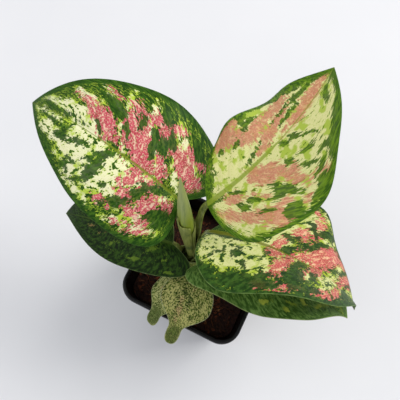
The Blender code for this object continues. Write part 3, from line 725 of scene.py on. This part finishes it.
leafColours["lower_right"] = dict(
    lowerLeaf, ground=(56, 88, 30), groundLight=(112, 146, 70), cream=(172, 182, 70), creamEdge=(126, 146, 52),
    pink=(150, 130, 76), pinkDeep=(130, 110, 60), fleck=(170, 160, 96), rib=(100, 120, 50),
    edge=(150, 164, 100), speckle=0.5,
    creamSpots=[
        (36, -16.5, 3, 1.6, 20), (47, -18, 1.6, 1.4, 0), (57, -8.5, 2, 2.5, 60), (67, -6, 4, 1.3, 30),
        (49, -13, 3, 1.0, 10), (70, -1.5, 5, 0.8, 10), (84, 2, 6, 0.7, -10), (20, 12, 3, 1.4, 40),
        (34, 16, 4, 1.2, 50), (52, 14, 3, 1.5, 60), (64, 12, 4, 1.0, 40), (28, 24, 3, 1, 30)])
leafColours["lower_left"] = dict(
    lowerLeaf, ground=(13, 33, 2), groundLight=(50, 80, 20), cream=(106, 130, 38), creamEdge=(86, 112, 30),
    pink=(146, 116, 70), pinkDeep=(130, 96, 60), fleck=(160, 130, 86), rib=(70, 92, 30), edge=(120, 140, 86),
    speckle=0.75,
    creamSpots=[
        (19, 15, 3.4, 1.3, 10), (2, 11, 2.0, 1.3, 40), (10, 7, 3, 0.8, 30), (34, 10, 3, 0.7, 25),
        (-2, 16, 3, 1.0, 10), (30, -8, 4, 1.2, -40), (44, -10, 4, 1.2, -40), (20, -12, 4, 1.2, -40)],
    pinkSpots=[(52, 3.6, 4, 0.9, 5), (44, 6, 4, 0.6, 8)])
leafColours["small_front"] = dict(
    smallLeaf, ground=(32, 50, 8), groundLight=(80, 104, 34), cream=(188, 184, 112), creamEdge=(126, 134, 62),
    pink=(196, 150, 110), pinkDeep=(176, 130, 96), fleck=(210, 180, 138), edge=(176, 180, 140),
    creamSpots=[
        (24, 5, 6, 5, 20), (19, -9, 7, 4, 20), (12, 5.5, 2.6, 1.6, 0), (16, 12, 6, 2.5, 0), (12, -11, 6, 3, 10),
        (27, 0.5, 5, 1.2, 10), (8, 8, 4, 2, 40), (8, -8, 3, 2, 60)],
    pinkSpots=[
        (20, -1.2, 4.6, 2.6, 15), (14.5, -2.6, 3.4, 1.7, 5), (6.5, 1.2, 1.6, 1.6, 0), (26, -2, 3, 1.2, 10)],
    greenSpots=[(12.5, 1.6, 2.6, 1.4, 30), (9, -2.5, 3, 1.2, 20), (22, 6.6, 1.8, 1, 0), (36, 0, 7, 3.4, 0)])
leafColours["small_left"] = dict(
    smallLeaf, ground=(50, 66, 12), groundLight=(76, 98, 38), cream=(176, 178, 112), creamEdge=(118, 128, 58),
    pink=(176, 140, 104), pinkDeep=(160, 120, 90), fleck=(190, 160, 120), edge=(160, 168, 120),
    creamSpots=[
        (14, -7, 6, 3, 0), (22, -5, 5, 3, 0), (12, 5, 7, 4, 20), (24, 3, 4, 2.4, 10), (6, -3, 4, 2, 30)],
    pinkSpots=[(16, -5.5, 1.8, 1.2, 0)],
    greenSpots=[(34, 0, 6, 5, 0)])

# lengths in mm; a leaf shorter than smallLength takes the coarser mesh and smallShare of each depth
blade = dict(stations=120, veins=34, smallStations=80, smallVeins=22, smallLength=60.0, smallShare=0.55,
             midHalf=0.34, edgeHalf=0.13, thinning=5.0, calmMargin=6.0, veinSpacing=7.5, veinDepth=0.26,
             veinWidth=1.3, veinSlant=0.62, veinArch=0.4, grooveDepth=0.55, grooveWidth=1.5, swell=0.7,
             swellSpan=17.0, waveLag=1.3, baseFullness=0.62, tipFullness=0.45, drift=1.7, driftSpan=5.0,
             farOutside=-6.0, specular=0.12, back=(86, 116, 66), backLight=(120, 144, 88))


def marginOutline(leaf, half, count):
    # points along the margin of one half of the flat blade, from its base round to its tip, in mm
    length = leaf["length"]
    width = leaf["width"][half]
    lobe = leaf["lobe"][half] * length
    belly = leaf.get("belly", (0.55, 0.55))[half]
    blunt = leaf.get("blunt", (0.34, 0.34))[half]
    widest = leaf["widest"][half] * length
    tailLength, tailWidth = leaf.get("tail", (0.0, 0.0))
    neck = length - tailLength
    rest = neck - widest
    tipWidth = tailWidth + leaf["tip"][half] * (width - tailWidth)
    beforeWidest = widest - blade["baseFullness"] * (widest + lobe)
    afterWidest = widest + blade["tipFullness"] * rest
    curves = [((0, 0), (-lobe, belly * width), (beforeWidest, width), (widest, width)),
              ((widest, width), (afterWidest, width), (neck - blunt * rest, tipWidth), (neck, tailWidth))]
    if tailLength:
        curves.append(((neck, tailWidth), (neck + tailLength / 2.0, tailWidth * 1.1), (length, tailWidth),
                       (length, 0)))
    points = [Vector((0, 0))]
    for curve in curves:
        points += geometry.interpolate_bezier(*(Vector(knot) for knot in curve), 60)[1:]
    points = np.array([tuple(point) for point in points])
    run = np.r_[0.0, np.cumsum(np.linalg.norm(np.diff(points, axis=0), axis=1))]
    stops = np.linspace(0.0, run[-1], count)
    return np.stack([np.interp(stops, run, points[:, 0]), np.interp(stops, run, points[:, 1])], -1)


def midribFrames(leaf, distance):
    # places on the midrib at distances from the base, with their forward, left and up directions
    length = leaf["length"]
    steps = np.linspace(0.0, 1.0, 201)
    pitch = np.radians(between(leaf["rise"], leaf["fall"], steps))
    heading = np.radians(leaf["heading"] + leaf["turn"] * steps)
    forward = np.stack([np.cos(pitch) * np.cos(heading), np.cos(pitch) * np.sin(heading), np.sin(pitch)], -1)
    travel = (forward[1:] + forward[:-1]) / 2.0 * length / 200.0
    centre = np.vstack([np.zeros(3), np.cumsum(travel, 0)]) + np.array(leaf["base"], float)
    share = np.clip(distance / length, 0.0, 1.0)
    place = np.stack([np.interp(share, steps, centre[:, k]) for k in range(3)], -1)
    ahead = np.stack([np.interp(share, steps, forward[:, k]) for k in range(3)], -1)
    ahead /= np.linalg.norm(ahead, axis=-1, keepdims=True)
    place += ahead * np.minimum(distance, 0.0)[..., None]
    level = np.cross([0.0, 0.0, 1.0], ahead)
    level /= np.linalg.norm(level, axis=-1, keepdims=True)
    above = np.cross(ahead, level)
    roll = np.radians(leaf["roll"] + leaf["twist"] * share)[..., None]
    left = level * np.cos(roll) + above * np.sin(roll)
    up = above * np.cos(roll) - level * np.sin(roll)
    return place, ahead, left, up


def bladePoint(leaf, half, x, y):
    # the flat blade's point (x, y) carried onto the arched, folded and waved blade
    place, _, left, up = midribFrames(leaf, x)
    width = leaf["width"][half]
    share = y / width
    fold = math.radians(leaf["fold"][half])
    bend = math.radians(leaf["curl"][half]) - fold
    angle = fold + bend * share
    across = width * (np.sin(angle) - math.sin(fold)) / bend
    lift = width * (math.cos(fold) - np.cos(angle)) / bend
    ripple = leaf["phase"] + 4.0 * math.pi * x / leaf["length"] + (blade["waveLag"] if half else 0.0)
    lift = lift + leaf["wave"] * share ** 2 * np.sin(ripple)
    side = -1.0 if half else 1.0
    return place + left * (side * across)[..., None] + up * lift[..., None]


def unit(vectors):
    return vectors / np.maximum(np.linalg.norm(vectors, axis=-1, keepdims=True), 1e-12)


def spotField(spots, x, y, seed):
    # mm inside the nearest spot, below zero outside every spot; the spots' shapes are wobbled
    span, farOutside = blade["driftSpan"], blade["farOutside"]
    places = zip(x.ravel() / span, y.ravel() / span)
    drift = [tuple(noise.noise_vector(Vector((*place, seed)))) for place in places]
    drift = np.array(drift) * blade["drift"]
    x = x + drift[:, 0].reshape(x.shape)
    y = y + drift[:, 1].reshape(x.shape)
    field = np.full(x.shape, farOutside)
    for spotX, spotY, long, wide, turn in spots:
        c, s = math.cos(math.radians(turn)), math.sin(math.radians(turn))
        along = (x - spotX) * c + (y - spotY) * s
        across = (y - spotY) * c - (x - spotX) * s
        reach = np.sqrt((along / long) ** 2 + (across / wide) ** 2)
        field = np.maximum(field, (1.0 - reach) * min(long, wide * 1.5))
    return np.maximum(field, farOutside)


def bladeSurface(leaf, colours, half, stations, veins):
    # one half of the blade: its top and bottom points and everything painted on them
    margin = marginOutline(leaf, half, stations)
    start = leaf["length"] * np.linspace(0.0, 1.0, stations) ** 1.15
    reach = np.linspace(0.0, 1.0, veins + 1) ** 0.92
    x = start[:, None] * (1.0 - reach) + margin[:, :1] * reach
    y = margin[:, 1:] * reach
    middle = bladePoint(leaf, half, x, y)
    step = 0.05
    side = -1.0 if half else 1.0
    ahead = bladePoint(leaf, half, x + step, y) - middle
    out = (bladePoint(leaf, half, x, y + step) - middle) * side
    normal = unit(np.cross(ahead, out))
    up = midribFrames(leaf, x)[3]
    near = np.clip(y / 2.5, 0.0, 1.0)[..., None]
    normal = unit(up * (1.0 - near) + normal * near)

    fine = marginOutline(leaf, half, 260)
    gap = np.full(x.shape, 1e9)
    for place in fine:
        gap = np.minimum(gap, np.hypot(x - place[0], y - place[1]))
    width = leaf["width"][half]
    size = blade["smallShare"] if leaf["length"] < blade["smallLength"] else 1.0
    inward = np.clip(gap / blade["calmMargin"], 0.0, 1.0)
    onward = np.clip(x / leaf["length"], 0, 1)

    # sunk veins, the groove over the midrib and a broad unevenness, all fading out at the margin
    vein = x - blade["veinSlant"] * y - blade["veinArch"] * y * y / width
    spacing = blade["veinSpacing"] * size
    toVein = np.abs((vein / spacing + 0.5) % 1.0 - 0.5) * spacing
    relief = -np.exp(-(toVein / (blade["veinWidth"] * size)) ** 2) * np.clip(y / 3.0, 0.0, 1.0)
    relief = relief * blade["veinDepth"]
    groove = blade["grooveWidth"] * size * (1.0 - 0.6 * onward)
    relief = relief - blade["grooveDepth"] * np.exp(-(y / groove) ** 2)
    span = blade["swellSpan"]
    places = zip(x.ravel() / span, side * y.ravel() / span)
    swell = [noise.noise(Vector((along, across, leaf["heading"]))) for along, across in places]
    relief = relief + blade["swell"] * np.array(swell).reshape(x.shape) * np.clip(y / 8.0, 0.0, 1.0)
    relief = relief * size * inward
    thinning = np.clip(gap / blade["thinning"], 0.0, 1.0) ** 0.5
    thick = between(blade["edgeHalf"], blade["midHalf"] * size, thinning)
    top = middle + normal * (relief + thick)[..., None]
    bottom = middle + normal * (relief - thick)[..., None]

    sweep = colours["sweep"][half] * width
    station = np.linspace(0.0, 1.0, stations)[:, None] * leaf["length"] + 0.0 * x
    crossing = station - sweep * (0.6 * reach + 0.4 * reach ** 2)
    ribHalf = between(colours["ribWidth"][0], colours["ribWidth"][1], onward) / 2.0
    ribHalf = ribHalf * np.clip((colours["ribFade"] - x / leaf["length"]) * 8.0, 0.35, 1.0)
    painted = dict(
        leafMap=np.stack([x, side * y], -1) / 10.0,
        veinMap=np.stack([crossing, side * reach * width + 0.0 * x], -1) / 10.0,
        reliefMap=np.stack([vein, side * y], -1) / 10.0,
        rim=gap, rib=ribHalf - y)
    for seed, name in ((1.5, "cream"), (2.5, "pink"), (3.5, "green")):
        painted[name] = spotField(colours.get(name + "Spots", ()), x, side * y, seed)
    return top, bottom, painted


leafShades = ("ground", "groundLight", "cream", "creamEdge", "pink", "pinkDeep", "fleck", "rib", "edge")


def leafPaint(name, colours):
    # green ground, cream and pink variegation that follows the veins, specks, midrib and margin
    paint = Paint(name, 0.4, blade["specular"])
    shade = {key: tint(colours[key]) for key in leafShades}
    flat = paint.map("leafMap")
    veined = paint.map("veinMap")
    rim = paint.attribute("rim")
    cream = paint.attribute("cream")
    inner = rim.over(3.0, 7.0)
    streak = paint.noise(veined, (5.0, 2.4, 1.0), 3.0, 0.62)
    fine = paint.noise(veined, (11.0, 6.0, 1.0), 2.0, 0.6)
    tiny = paint.noise(flat, 12.0, 2.0, 0.6)
    broad = paint.noise(flat, 1.5, 2.0)
    blotch = paint.noise(veined, (6.4, 3.4, 1.0), 3.0, 0.65, (3.1, 7.7, 0.0))
    wander = (streak - 0.5) * colours["ragged"] + (fine - 0.5) * (colours["ragged"] * 0.6)

    ground = paint.mix(blotch.over(0.4, 0.62), shade["ground"], shade["groundLight"])
    ground = paint.mix(broad.over(0.45, 0.7) * 0.5, ground, shade["ground"])
    specks = paint.noise(veined, (7.0, 5.0, 1.0), 2.0, 0.7, (9.4, 1.3, 0.0))
    crowd = (cream + 3.0).over(-2.0, 3.0) * 0.07 + (broad - 0.5) * 0.12
    speck = (specks + crowd).over(0.64, 0.67) * colours["speckle"] * inner
    base = paint.mix(speck, ground, shade["creamEdge"])

    creamDepth = (rim - 2.6) * 1.2 if colours.get("allCream") else cream
    creamMask = (creamDepth + wander).over(-0.25, 0.25)
    paleness = creamDepth.math("MINIMUM", creamDepth, 3.0) + wander * 0.5
    paleness = paleness + (broad - 0.5) * colours.get("sheen", 14.0)
    pale = paint.mix(paleness.over(-0.6, 3.0), shade["creamEdge"], shade["cream"])
    pale = paint.mix(tiny.over(0.52, 0.64) * 0.3, pale, shade["creamEdge"])
    paint.colour = paint.mix(creamMask, base, pale)

    islandStart, islandScale = colours["islands"]
    islands = paint.noise(veined, (islandScale, islandScale * 0.75, 1.0), 3.5, 0.66, (11.3, 2.9, 0.0))
    island = islands + (blotch - 0.5) * 0.35
    halo = island.over(islandStart - 0.035, islandStart - 0.015)
    paint.lay(halo * 0.8, shade["creamEdge"])
    paint.lay(island.over(islandStart - 0.01, islandStart + 0.015), ground)

    pinkDepth = paint.attribute("pink") - 0.9 + (blotch - 0.5) * colours["ragged"] * 1.3 + (fine - 0.5) * 6.0
    soft = colours.get("soft", 0.25)
    pinkMask = pinkDepth.over(-soft, soft)
    pink = paint.mix(broad.over(0.4, 0.65) * 0.6, shade["pink"], shade["pinkDeep"])
    pink = paint.mix(tiny.over(0.5, 0.6) * 0.55, pink, shade["fleck"])
    pink = paint.mix(streak.over(0.56, 0.6) * 0.75, pink, shade["fleck"])
    pink = paint.mix(fine.over(0.6, 0.64) * 0.5, pink, shade["groundLight"])
    paint.lay(pinkMask * colours["pinkCover"], pink)

    greenMask = (paint.attribute("green") + wander * 0.6).over(-0.25, 0.25)
    paint.lay(greenMask * 0.95, ground)
    band = (colours["band"] - rim + (blotch - 0.5) * 8.0).over(-0.4, 0.4)
    paint.lay(band, ground)

    rib = paint.attribute("rib")
    paint.lay(rib.over(-0.35, 0.25) * 0.85, shade["rib"])
    if colours.get("mottle"):
        mottle = paint.noise(veined, (12.0, 9.0, 1.0), 2.0, 0.6)
        light = mottle.over(0.5, 0.55) * colours["mottle"] * (1.0 - greenMask * 0.6)
        paint.lay(light, shade["cream"])
        dark = (1.0 - mottle.over(0.43, 0.48)) * 0.85
        paint.lay(dark, ground)
    paint.lay((1.0 - rim.over(0.12, 0.42)) * 0.7, shade["edge"])

    under = paint.attribute("under")
    back = paint.mix(streak, tint(blade["back"]), tint(blade["backLight"]))
    paint.lay(under * 0.75, back)
    paint.finish("Base Color", paint.colour)
    paint.finish("Roughness", 0.38 + 0.2 * fine + under * 0.15)

    relief = paint.map("reliefMap")
    hair = paint.noise(relief, (22.0, 3.0, 1.0), 2.0)
    paint.bump(hair * 0.7 + paint.cells(flat, 14.0) * 0.5 + fine * 0.4, 0.14 * mm, 0.8)
    return paint.material


leafMaps = ("leafMap", "veinMap", "reliefMap")
leafFields = ("cream", "pink", "green", "rim", "rib")


def makeBlade(leafName, leaf):
    colours = leafColours[leafName]
    small = leaf["length"] < blade["smallLength"]
    stations = blade["smallStations" if small else "stations"]
    veins = blade["smallVeins" if small else "veins"]
    points, faces = [], []
    painted = {key: [] for key in (*leafMaps, *leafFields, "under")}
    for half in (0, 1):
        top, bottom, paints = bladeSurface(leaf, colours, half, stations, veins)
        lip = (top[:, -1] + bottom[:, -1]) / 2.0
        lip = lip + unit(top[:, -1] - top[:, -2]) * blade["edgeHalf"] * 0.8
        row = veins + 1
        first = len(points)
        for layer, under in ((top, 0.0), (bottom, 1.0)):
            points += list(layer.reshape(-1, 3) * mm)
            for key, values in paints.items():
                painted[key] += list(values.reshape(stations * row, *values.shape[2:]))
            painted["under"] += [under] * (stations * row)
        points += list(lip * mm)
        for key, values in paints.items():
            painted[key] += list(values[:, -1])
        painted["under"] += [0.0] * stations
        second = first + stations * row
        edge = second + stations * row
        for k in range(stations - 1):
            for j in range(veins):
                a, b = k * row + j, (k + 1) * row + j
                for layerStart, turned in ((first, not half), (second, half)):
                    corners = tuple(layerStart + corner for corner in (a, b, b + 1, a + 1))
                    faces.append(corners[::-1] if turned else corners)
            a, b = k * row + veins, (k + 1) * row + veins
            faces.append((first + a, first + b, edge + k + 1, edge + k))
            faces.append((edge + k, edge + k + 1, second + b, second + a))
    mesh = meshFrom("blade" + camel(leafName), points, faces)
    corners = np.zeros(len(mesh.loops), int)
    mesh.loops.foreach_get("vertex_index", corners)
    for key in leafMaps:
        layer = mesh.uv_layers.new(name=key)
        layer.data.foreach_set("uv", np.array(painted[key], np.float32)[corners].ravel())
    for key in (*leafFields, "under"):
        paintPoints(mesh, key, painted[key])
    tidyMesh(mesh, 0.004 * mm)
    node = "blade_" + leafName
    addPiece(mesh.name, mesh, leafPaint(leafName + "Green", colours), [node])


def camel(name):
    return "".join(word.capitalize() for word in name.split("_"))


# lengths in mm, wraps in degrees to each side of a petiole's back; opens is where a wrap starts to open
# and over what height. The mouth is that of the sheath round the rolled leaf.
petioles = dict(sheathThickness=0.6, sheathLength=13.0, sheathGap=0.6, nestStep=0.55, nestRise=3.0,
                halfWrap=122.0, sheathLevels=60, mouthTop=153.5, mouthThickness=0.45, mouthEase=1.02,
                mouthGap=0.08, closedWrap=176.0, mouthWrap=96.0, opens=(151.0, 2.5), farWrap=70.0,
                farOpens=(140.0, 12.0), stalkLevels=40, stalkWall=0.7, leave=0.28, channel=0.18, ribLevels=48,
                ribReach=0.8, ribShare=0.8, ribTip=0.35, ribWrap=96.0, ribWrapAtBlade=102.0, ribInset=0.1,
                ribSink=0.32, green=(110, 122, 52), pale=(150, 156, 84), dark=(60, 80, 34))


def petioleRing(backPoint, back, forward, outer, inner, nearWrap, farWrap, hollow, count=25):
    # one section: an arc on the outer side, closed by an inner arc or by a shallow channel
    across = forward.cross(back).normalized()
    centre = backPoint - back * outer
    near, far = math.radians(nearWrap), math.radians(farWrap)

    def at(radius, angle):
        return centre + back * (radius * math.cos(angle)) + across * (radius * math.sin(angle))

    ring = [at(outer, between(-far, near, k / (count - 1))) for k in range(count)]
    first, last = ring[-1], ring[0]
    for k in range(count - 1):
        share = (k + 0.5) / (count - 1)
        channel = between(first, last, share) + back * (outer * petioles["channel"] * math.sin(math.pi * share))
        arc = at(inner, between(near, -far, k / (count - 2)))
        ring.append(channel.lerp(arc, hollow))
    return ring


def sheathSpread(leafName, z):
    # radius of the sheath's outer face in mm: it goes round the sheaths of the younger leaves inside it
    own = leaves[leafName]["node"]
    younger = [leaf["node"] for leaf in leaves.values() if own < leaf["node"] < stem["top"]]
    inside = sum(smoothStep((z - node) / petioles["nestRise"]) for node in younger)
    return coreRadius(z) + petioles["sheathGap"] + petioles["sheathThickness"] + petioles["nestStep"] * inside


def openingWrap(z, opened, opens):
    return between(petioles["closedWrap"], opened, smoothStep((z - opens[0]) / opens[1]))


def makePetiole(leafName, leaf):
    wrapsSpear = leafName == "back_left"
    stalk = leaf["petiole"]
    side = math.radians(leaf["side"])
    outward = Vector((math.cos(side), math.sin(side), 0.0))
    outward = (outward - stemLean * outward.dot(stemLean)).normalized()
    sheathTop = petioles["mouthTop"] if wrapsSpear else leaf["node"] + petioles["sheathLength"]
    sheathFoot = leaf["node"] + 0.3
    wall = petioles["mouthThickness" if wrapsSpear else "sheathThickness"]
    rings = []
    for k in range(petioles["sheathLevels"]):
        z = between(sheathFoot, sheathTop, k / (petioles["sheathLevels"] - 1))
        if wrapsSpear:
            # closed all round up to the mouth, which slants down to the side away from the blade
            outer = coreRadius(z) * petioles["mouthEase"] + petioles["mouthGap"] + wall
            wrap = openingWrap(z, petioles["mouthWrap"], petioles["opens"])
            farWrap = openingWrap(z, petioles["farWrap"], petioles["farOpens"])
        else:
            outer = sheathSpread(leafName, z)
            wrap = farWrap = petioles["halfWrap"]
        rings.append(petioleRing(axisPoint(z) + outward * outer * mm, outward, stemLean, outer * mm,
                                 (outer - wall) * mm, wrap, farWrap, 1.0))
    footRadius = outer
    start = axisPoint(sheathTop) + outward * outer * mm

    # the free stalk, from the sheath's top to the blade's base
    place, ahead, _, up = midribFrames(leaf, np.array([0.0]))
    under, onward = -Vector(up[0]), Vector(ahead[0])
    clear = blade["midHalf"] - petioles["ribInset"]
    ribRadius = stalk * petioles["ribShare"]
    end = Vector(place[0] * mm) + under * (clear + ribRadius) * mm
    span = (end - start).length
    leave = (stemLean + outward * petioles["leave"]).normalized()
    steps = petioles["stalkLevels"]
    path = geometry.interpolate_bezier(start, start + leave * span * 0.4, end - onward * span * 0.1, end, steps)
    for k in range(1, steps - 1):
        share = k / (steps - 1)
        forward = (path[k + 1] - path[k - 1]).normalized()
        back = outward.lerp(under, smoothStep((share - 0.3) / 0.7))
        back = (back - forward * back.dot(forward)).normalized()
        closed = smoothStep((share - (0.0 if wrapsSpear else 0.05)) / 0.6)
        outer = between(footRadius, between(stalk, ribRadius, share), closed)
        narrowing = smoothStep(share / 0.4)
        near, far = (between(wide, petioles["ribWrapAtBlade"], narrowing) for wide in (wrap, farWrap))
        inner = max(outer - petioles["stalkWall"], 0.0)
        rings.append(petioleRing(path[k], back, forward, outer * mm, inner * mm, near, far, 1.0 - closed))

    # on under the blade as its midrib
    levels, ribWrap = petioles["ribLevels"], petioles["ribWrap"]
    place, ahead, _, up = midribFrames(leaf, np.linspace(0.0, petioles["ribReach"] * leaf["length"], levels))
    for k in range(levels):
        radius = between(ribRadius, petioles["ribTip"], (k / (levels - 1)) ** 0.7)
        down = -Vector(up[k])
        sink = clear + radius + petioles["ribSink"] * smoothStep(k / 8.0)
        rings.append(petioleRing(Vector(place[k] * mm) + down * sink * mm, down, Vector(ahead[k]),
                                 radius * mm, 0.0, ribWrap, ribWrap, 0.0))
    points, faces = loft(rings)
    mesh = meshFrom("petiole" + camel(leafName), points, faces)
    tidyMesh(mesh, 0.001 * mm)
    material = stalkPaint(leafName + "Petiole", petioles["green"], petioles["pale"], petioles["dark"])
    addPiece(mesh.name, mesh, material, ["petiole_" + leafName])


# the camera's place is in mm, everything else here is in metres
stage = dict(floor=(229, 229, 231), floorCloud=(221, 222, 225), floorHalf=3.0, camera=(30.5, -63.4, 426.1),
             tilt=18.0, turn=26.2, lens=50.0, sky=(0.97, 0.975, 1.0), skyStrength=0.6)
lights = dict(
    window=dict(place=(0.9, 0.9, 1.5), size=0.9, power=24.0, colour=(1.0, 0.985, 0.96)),
    fill=dict(place=(-0.9, -0.5, 1.3), size=1.4, power=7.0, colour=(0.92, 0.95, 1.0)))


def makeStage():
    half = stage["floorHalf"]
    corners = [(-half, -half, 0.0), (half, -half, 0.0), (half, half, 0.0), (-half, half, 0.0)]
    mesh = meshFrom("floor", corners, [(0, 1, 2, 3)])
    floor = bpy.data.objects.new("floor", mesh)
    bpy.context.scene.collection.objects.link(floor)
    paint = Paint("paleFloor", 0.6, 0.2)
    place = paint.place()
    cloud = paint.noise(place, 9.0, 3.0)
    paint.finish("Base Color", paint.mix(cloud, tint(stage["floor"]), tint(stage["floorCloud"])))
    paint.finish("Roughness", 0.55 + 0.1 * cloud)
    mesh.materials.append(paint.material)


def makeCamera():
    data = bpy.data.cameras.new("camera")
    data.lens = stage["lens"]
    data.clip_start = 0.01
    camera = bpy.data.objects.new("camera", data)
    camera.location = Vector(stage["camera"]) * mm
    camera.rotation_euler = (math.radians(stage["tilt"]), 0.0, math.radians(stage["turn"]))
    bpy.context.scene.collection.objects.link(camera)
    bpy.context.scene.camera = camera


def addLight(name, place, size, power, colour):
    data = bpy.data.lights.new(name, "AREA")
    data.size = size
    data.energy = power
    data.color = colour
    light = bpy.data.objects.new(name, data)
    light.location = place
    light.rotation_euler = (Vector((0.0, 0.0, 0.1)) - Vector(place)).to_track_quat("-Z", "Y").to_euler()
    bpy.context.scene.collection.objects.link(light)


def makeLights():
    for name, light in lights.items():
        addLight(name, **light)
    world = bpy.data.worlds.new("softSky")
    world.use_nodes = True
    background = world.node_tree.nodes["Background"]
    background.inputs["Color"].default_value = (*stage["sky"], 1.0)
    background.inputs["Strength"].default_value = stage["skyStrength"]
    bpy.context.scene.world = world
    bpy.context.scene.view_settings.view_transform = "Standard"


makeCamera()
makeLights()
makeStage()
print("camera, lights and floor ready")
makePot()
makeSoil()
makeCrumbs()
makeChips()
makeFibres()
print("pot and soil ready")
makeStem()
makeRolledLeaf()
for leafName, leaf in leaves.items():
    makeBlade(leafName, leaf)
    makePetiole(leafName, leaf)
print("leaves ready")
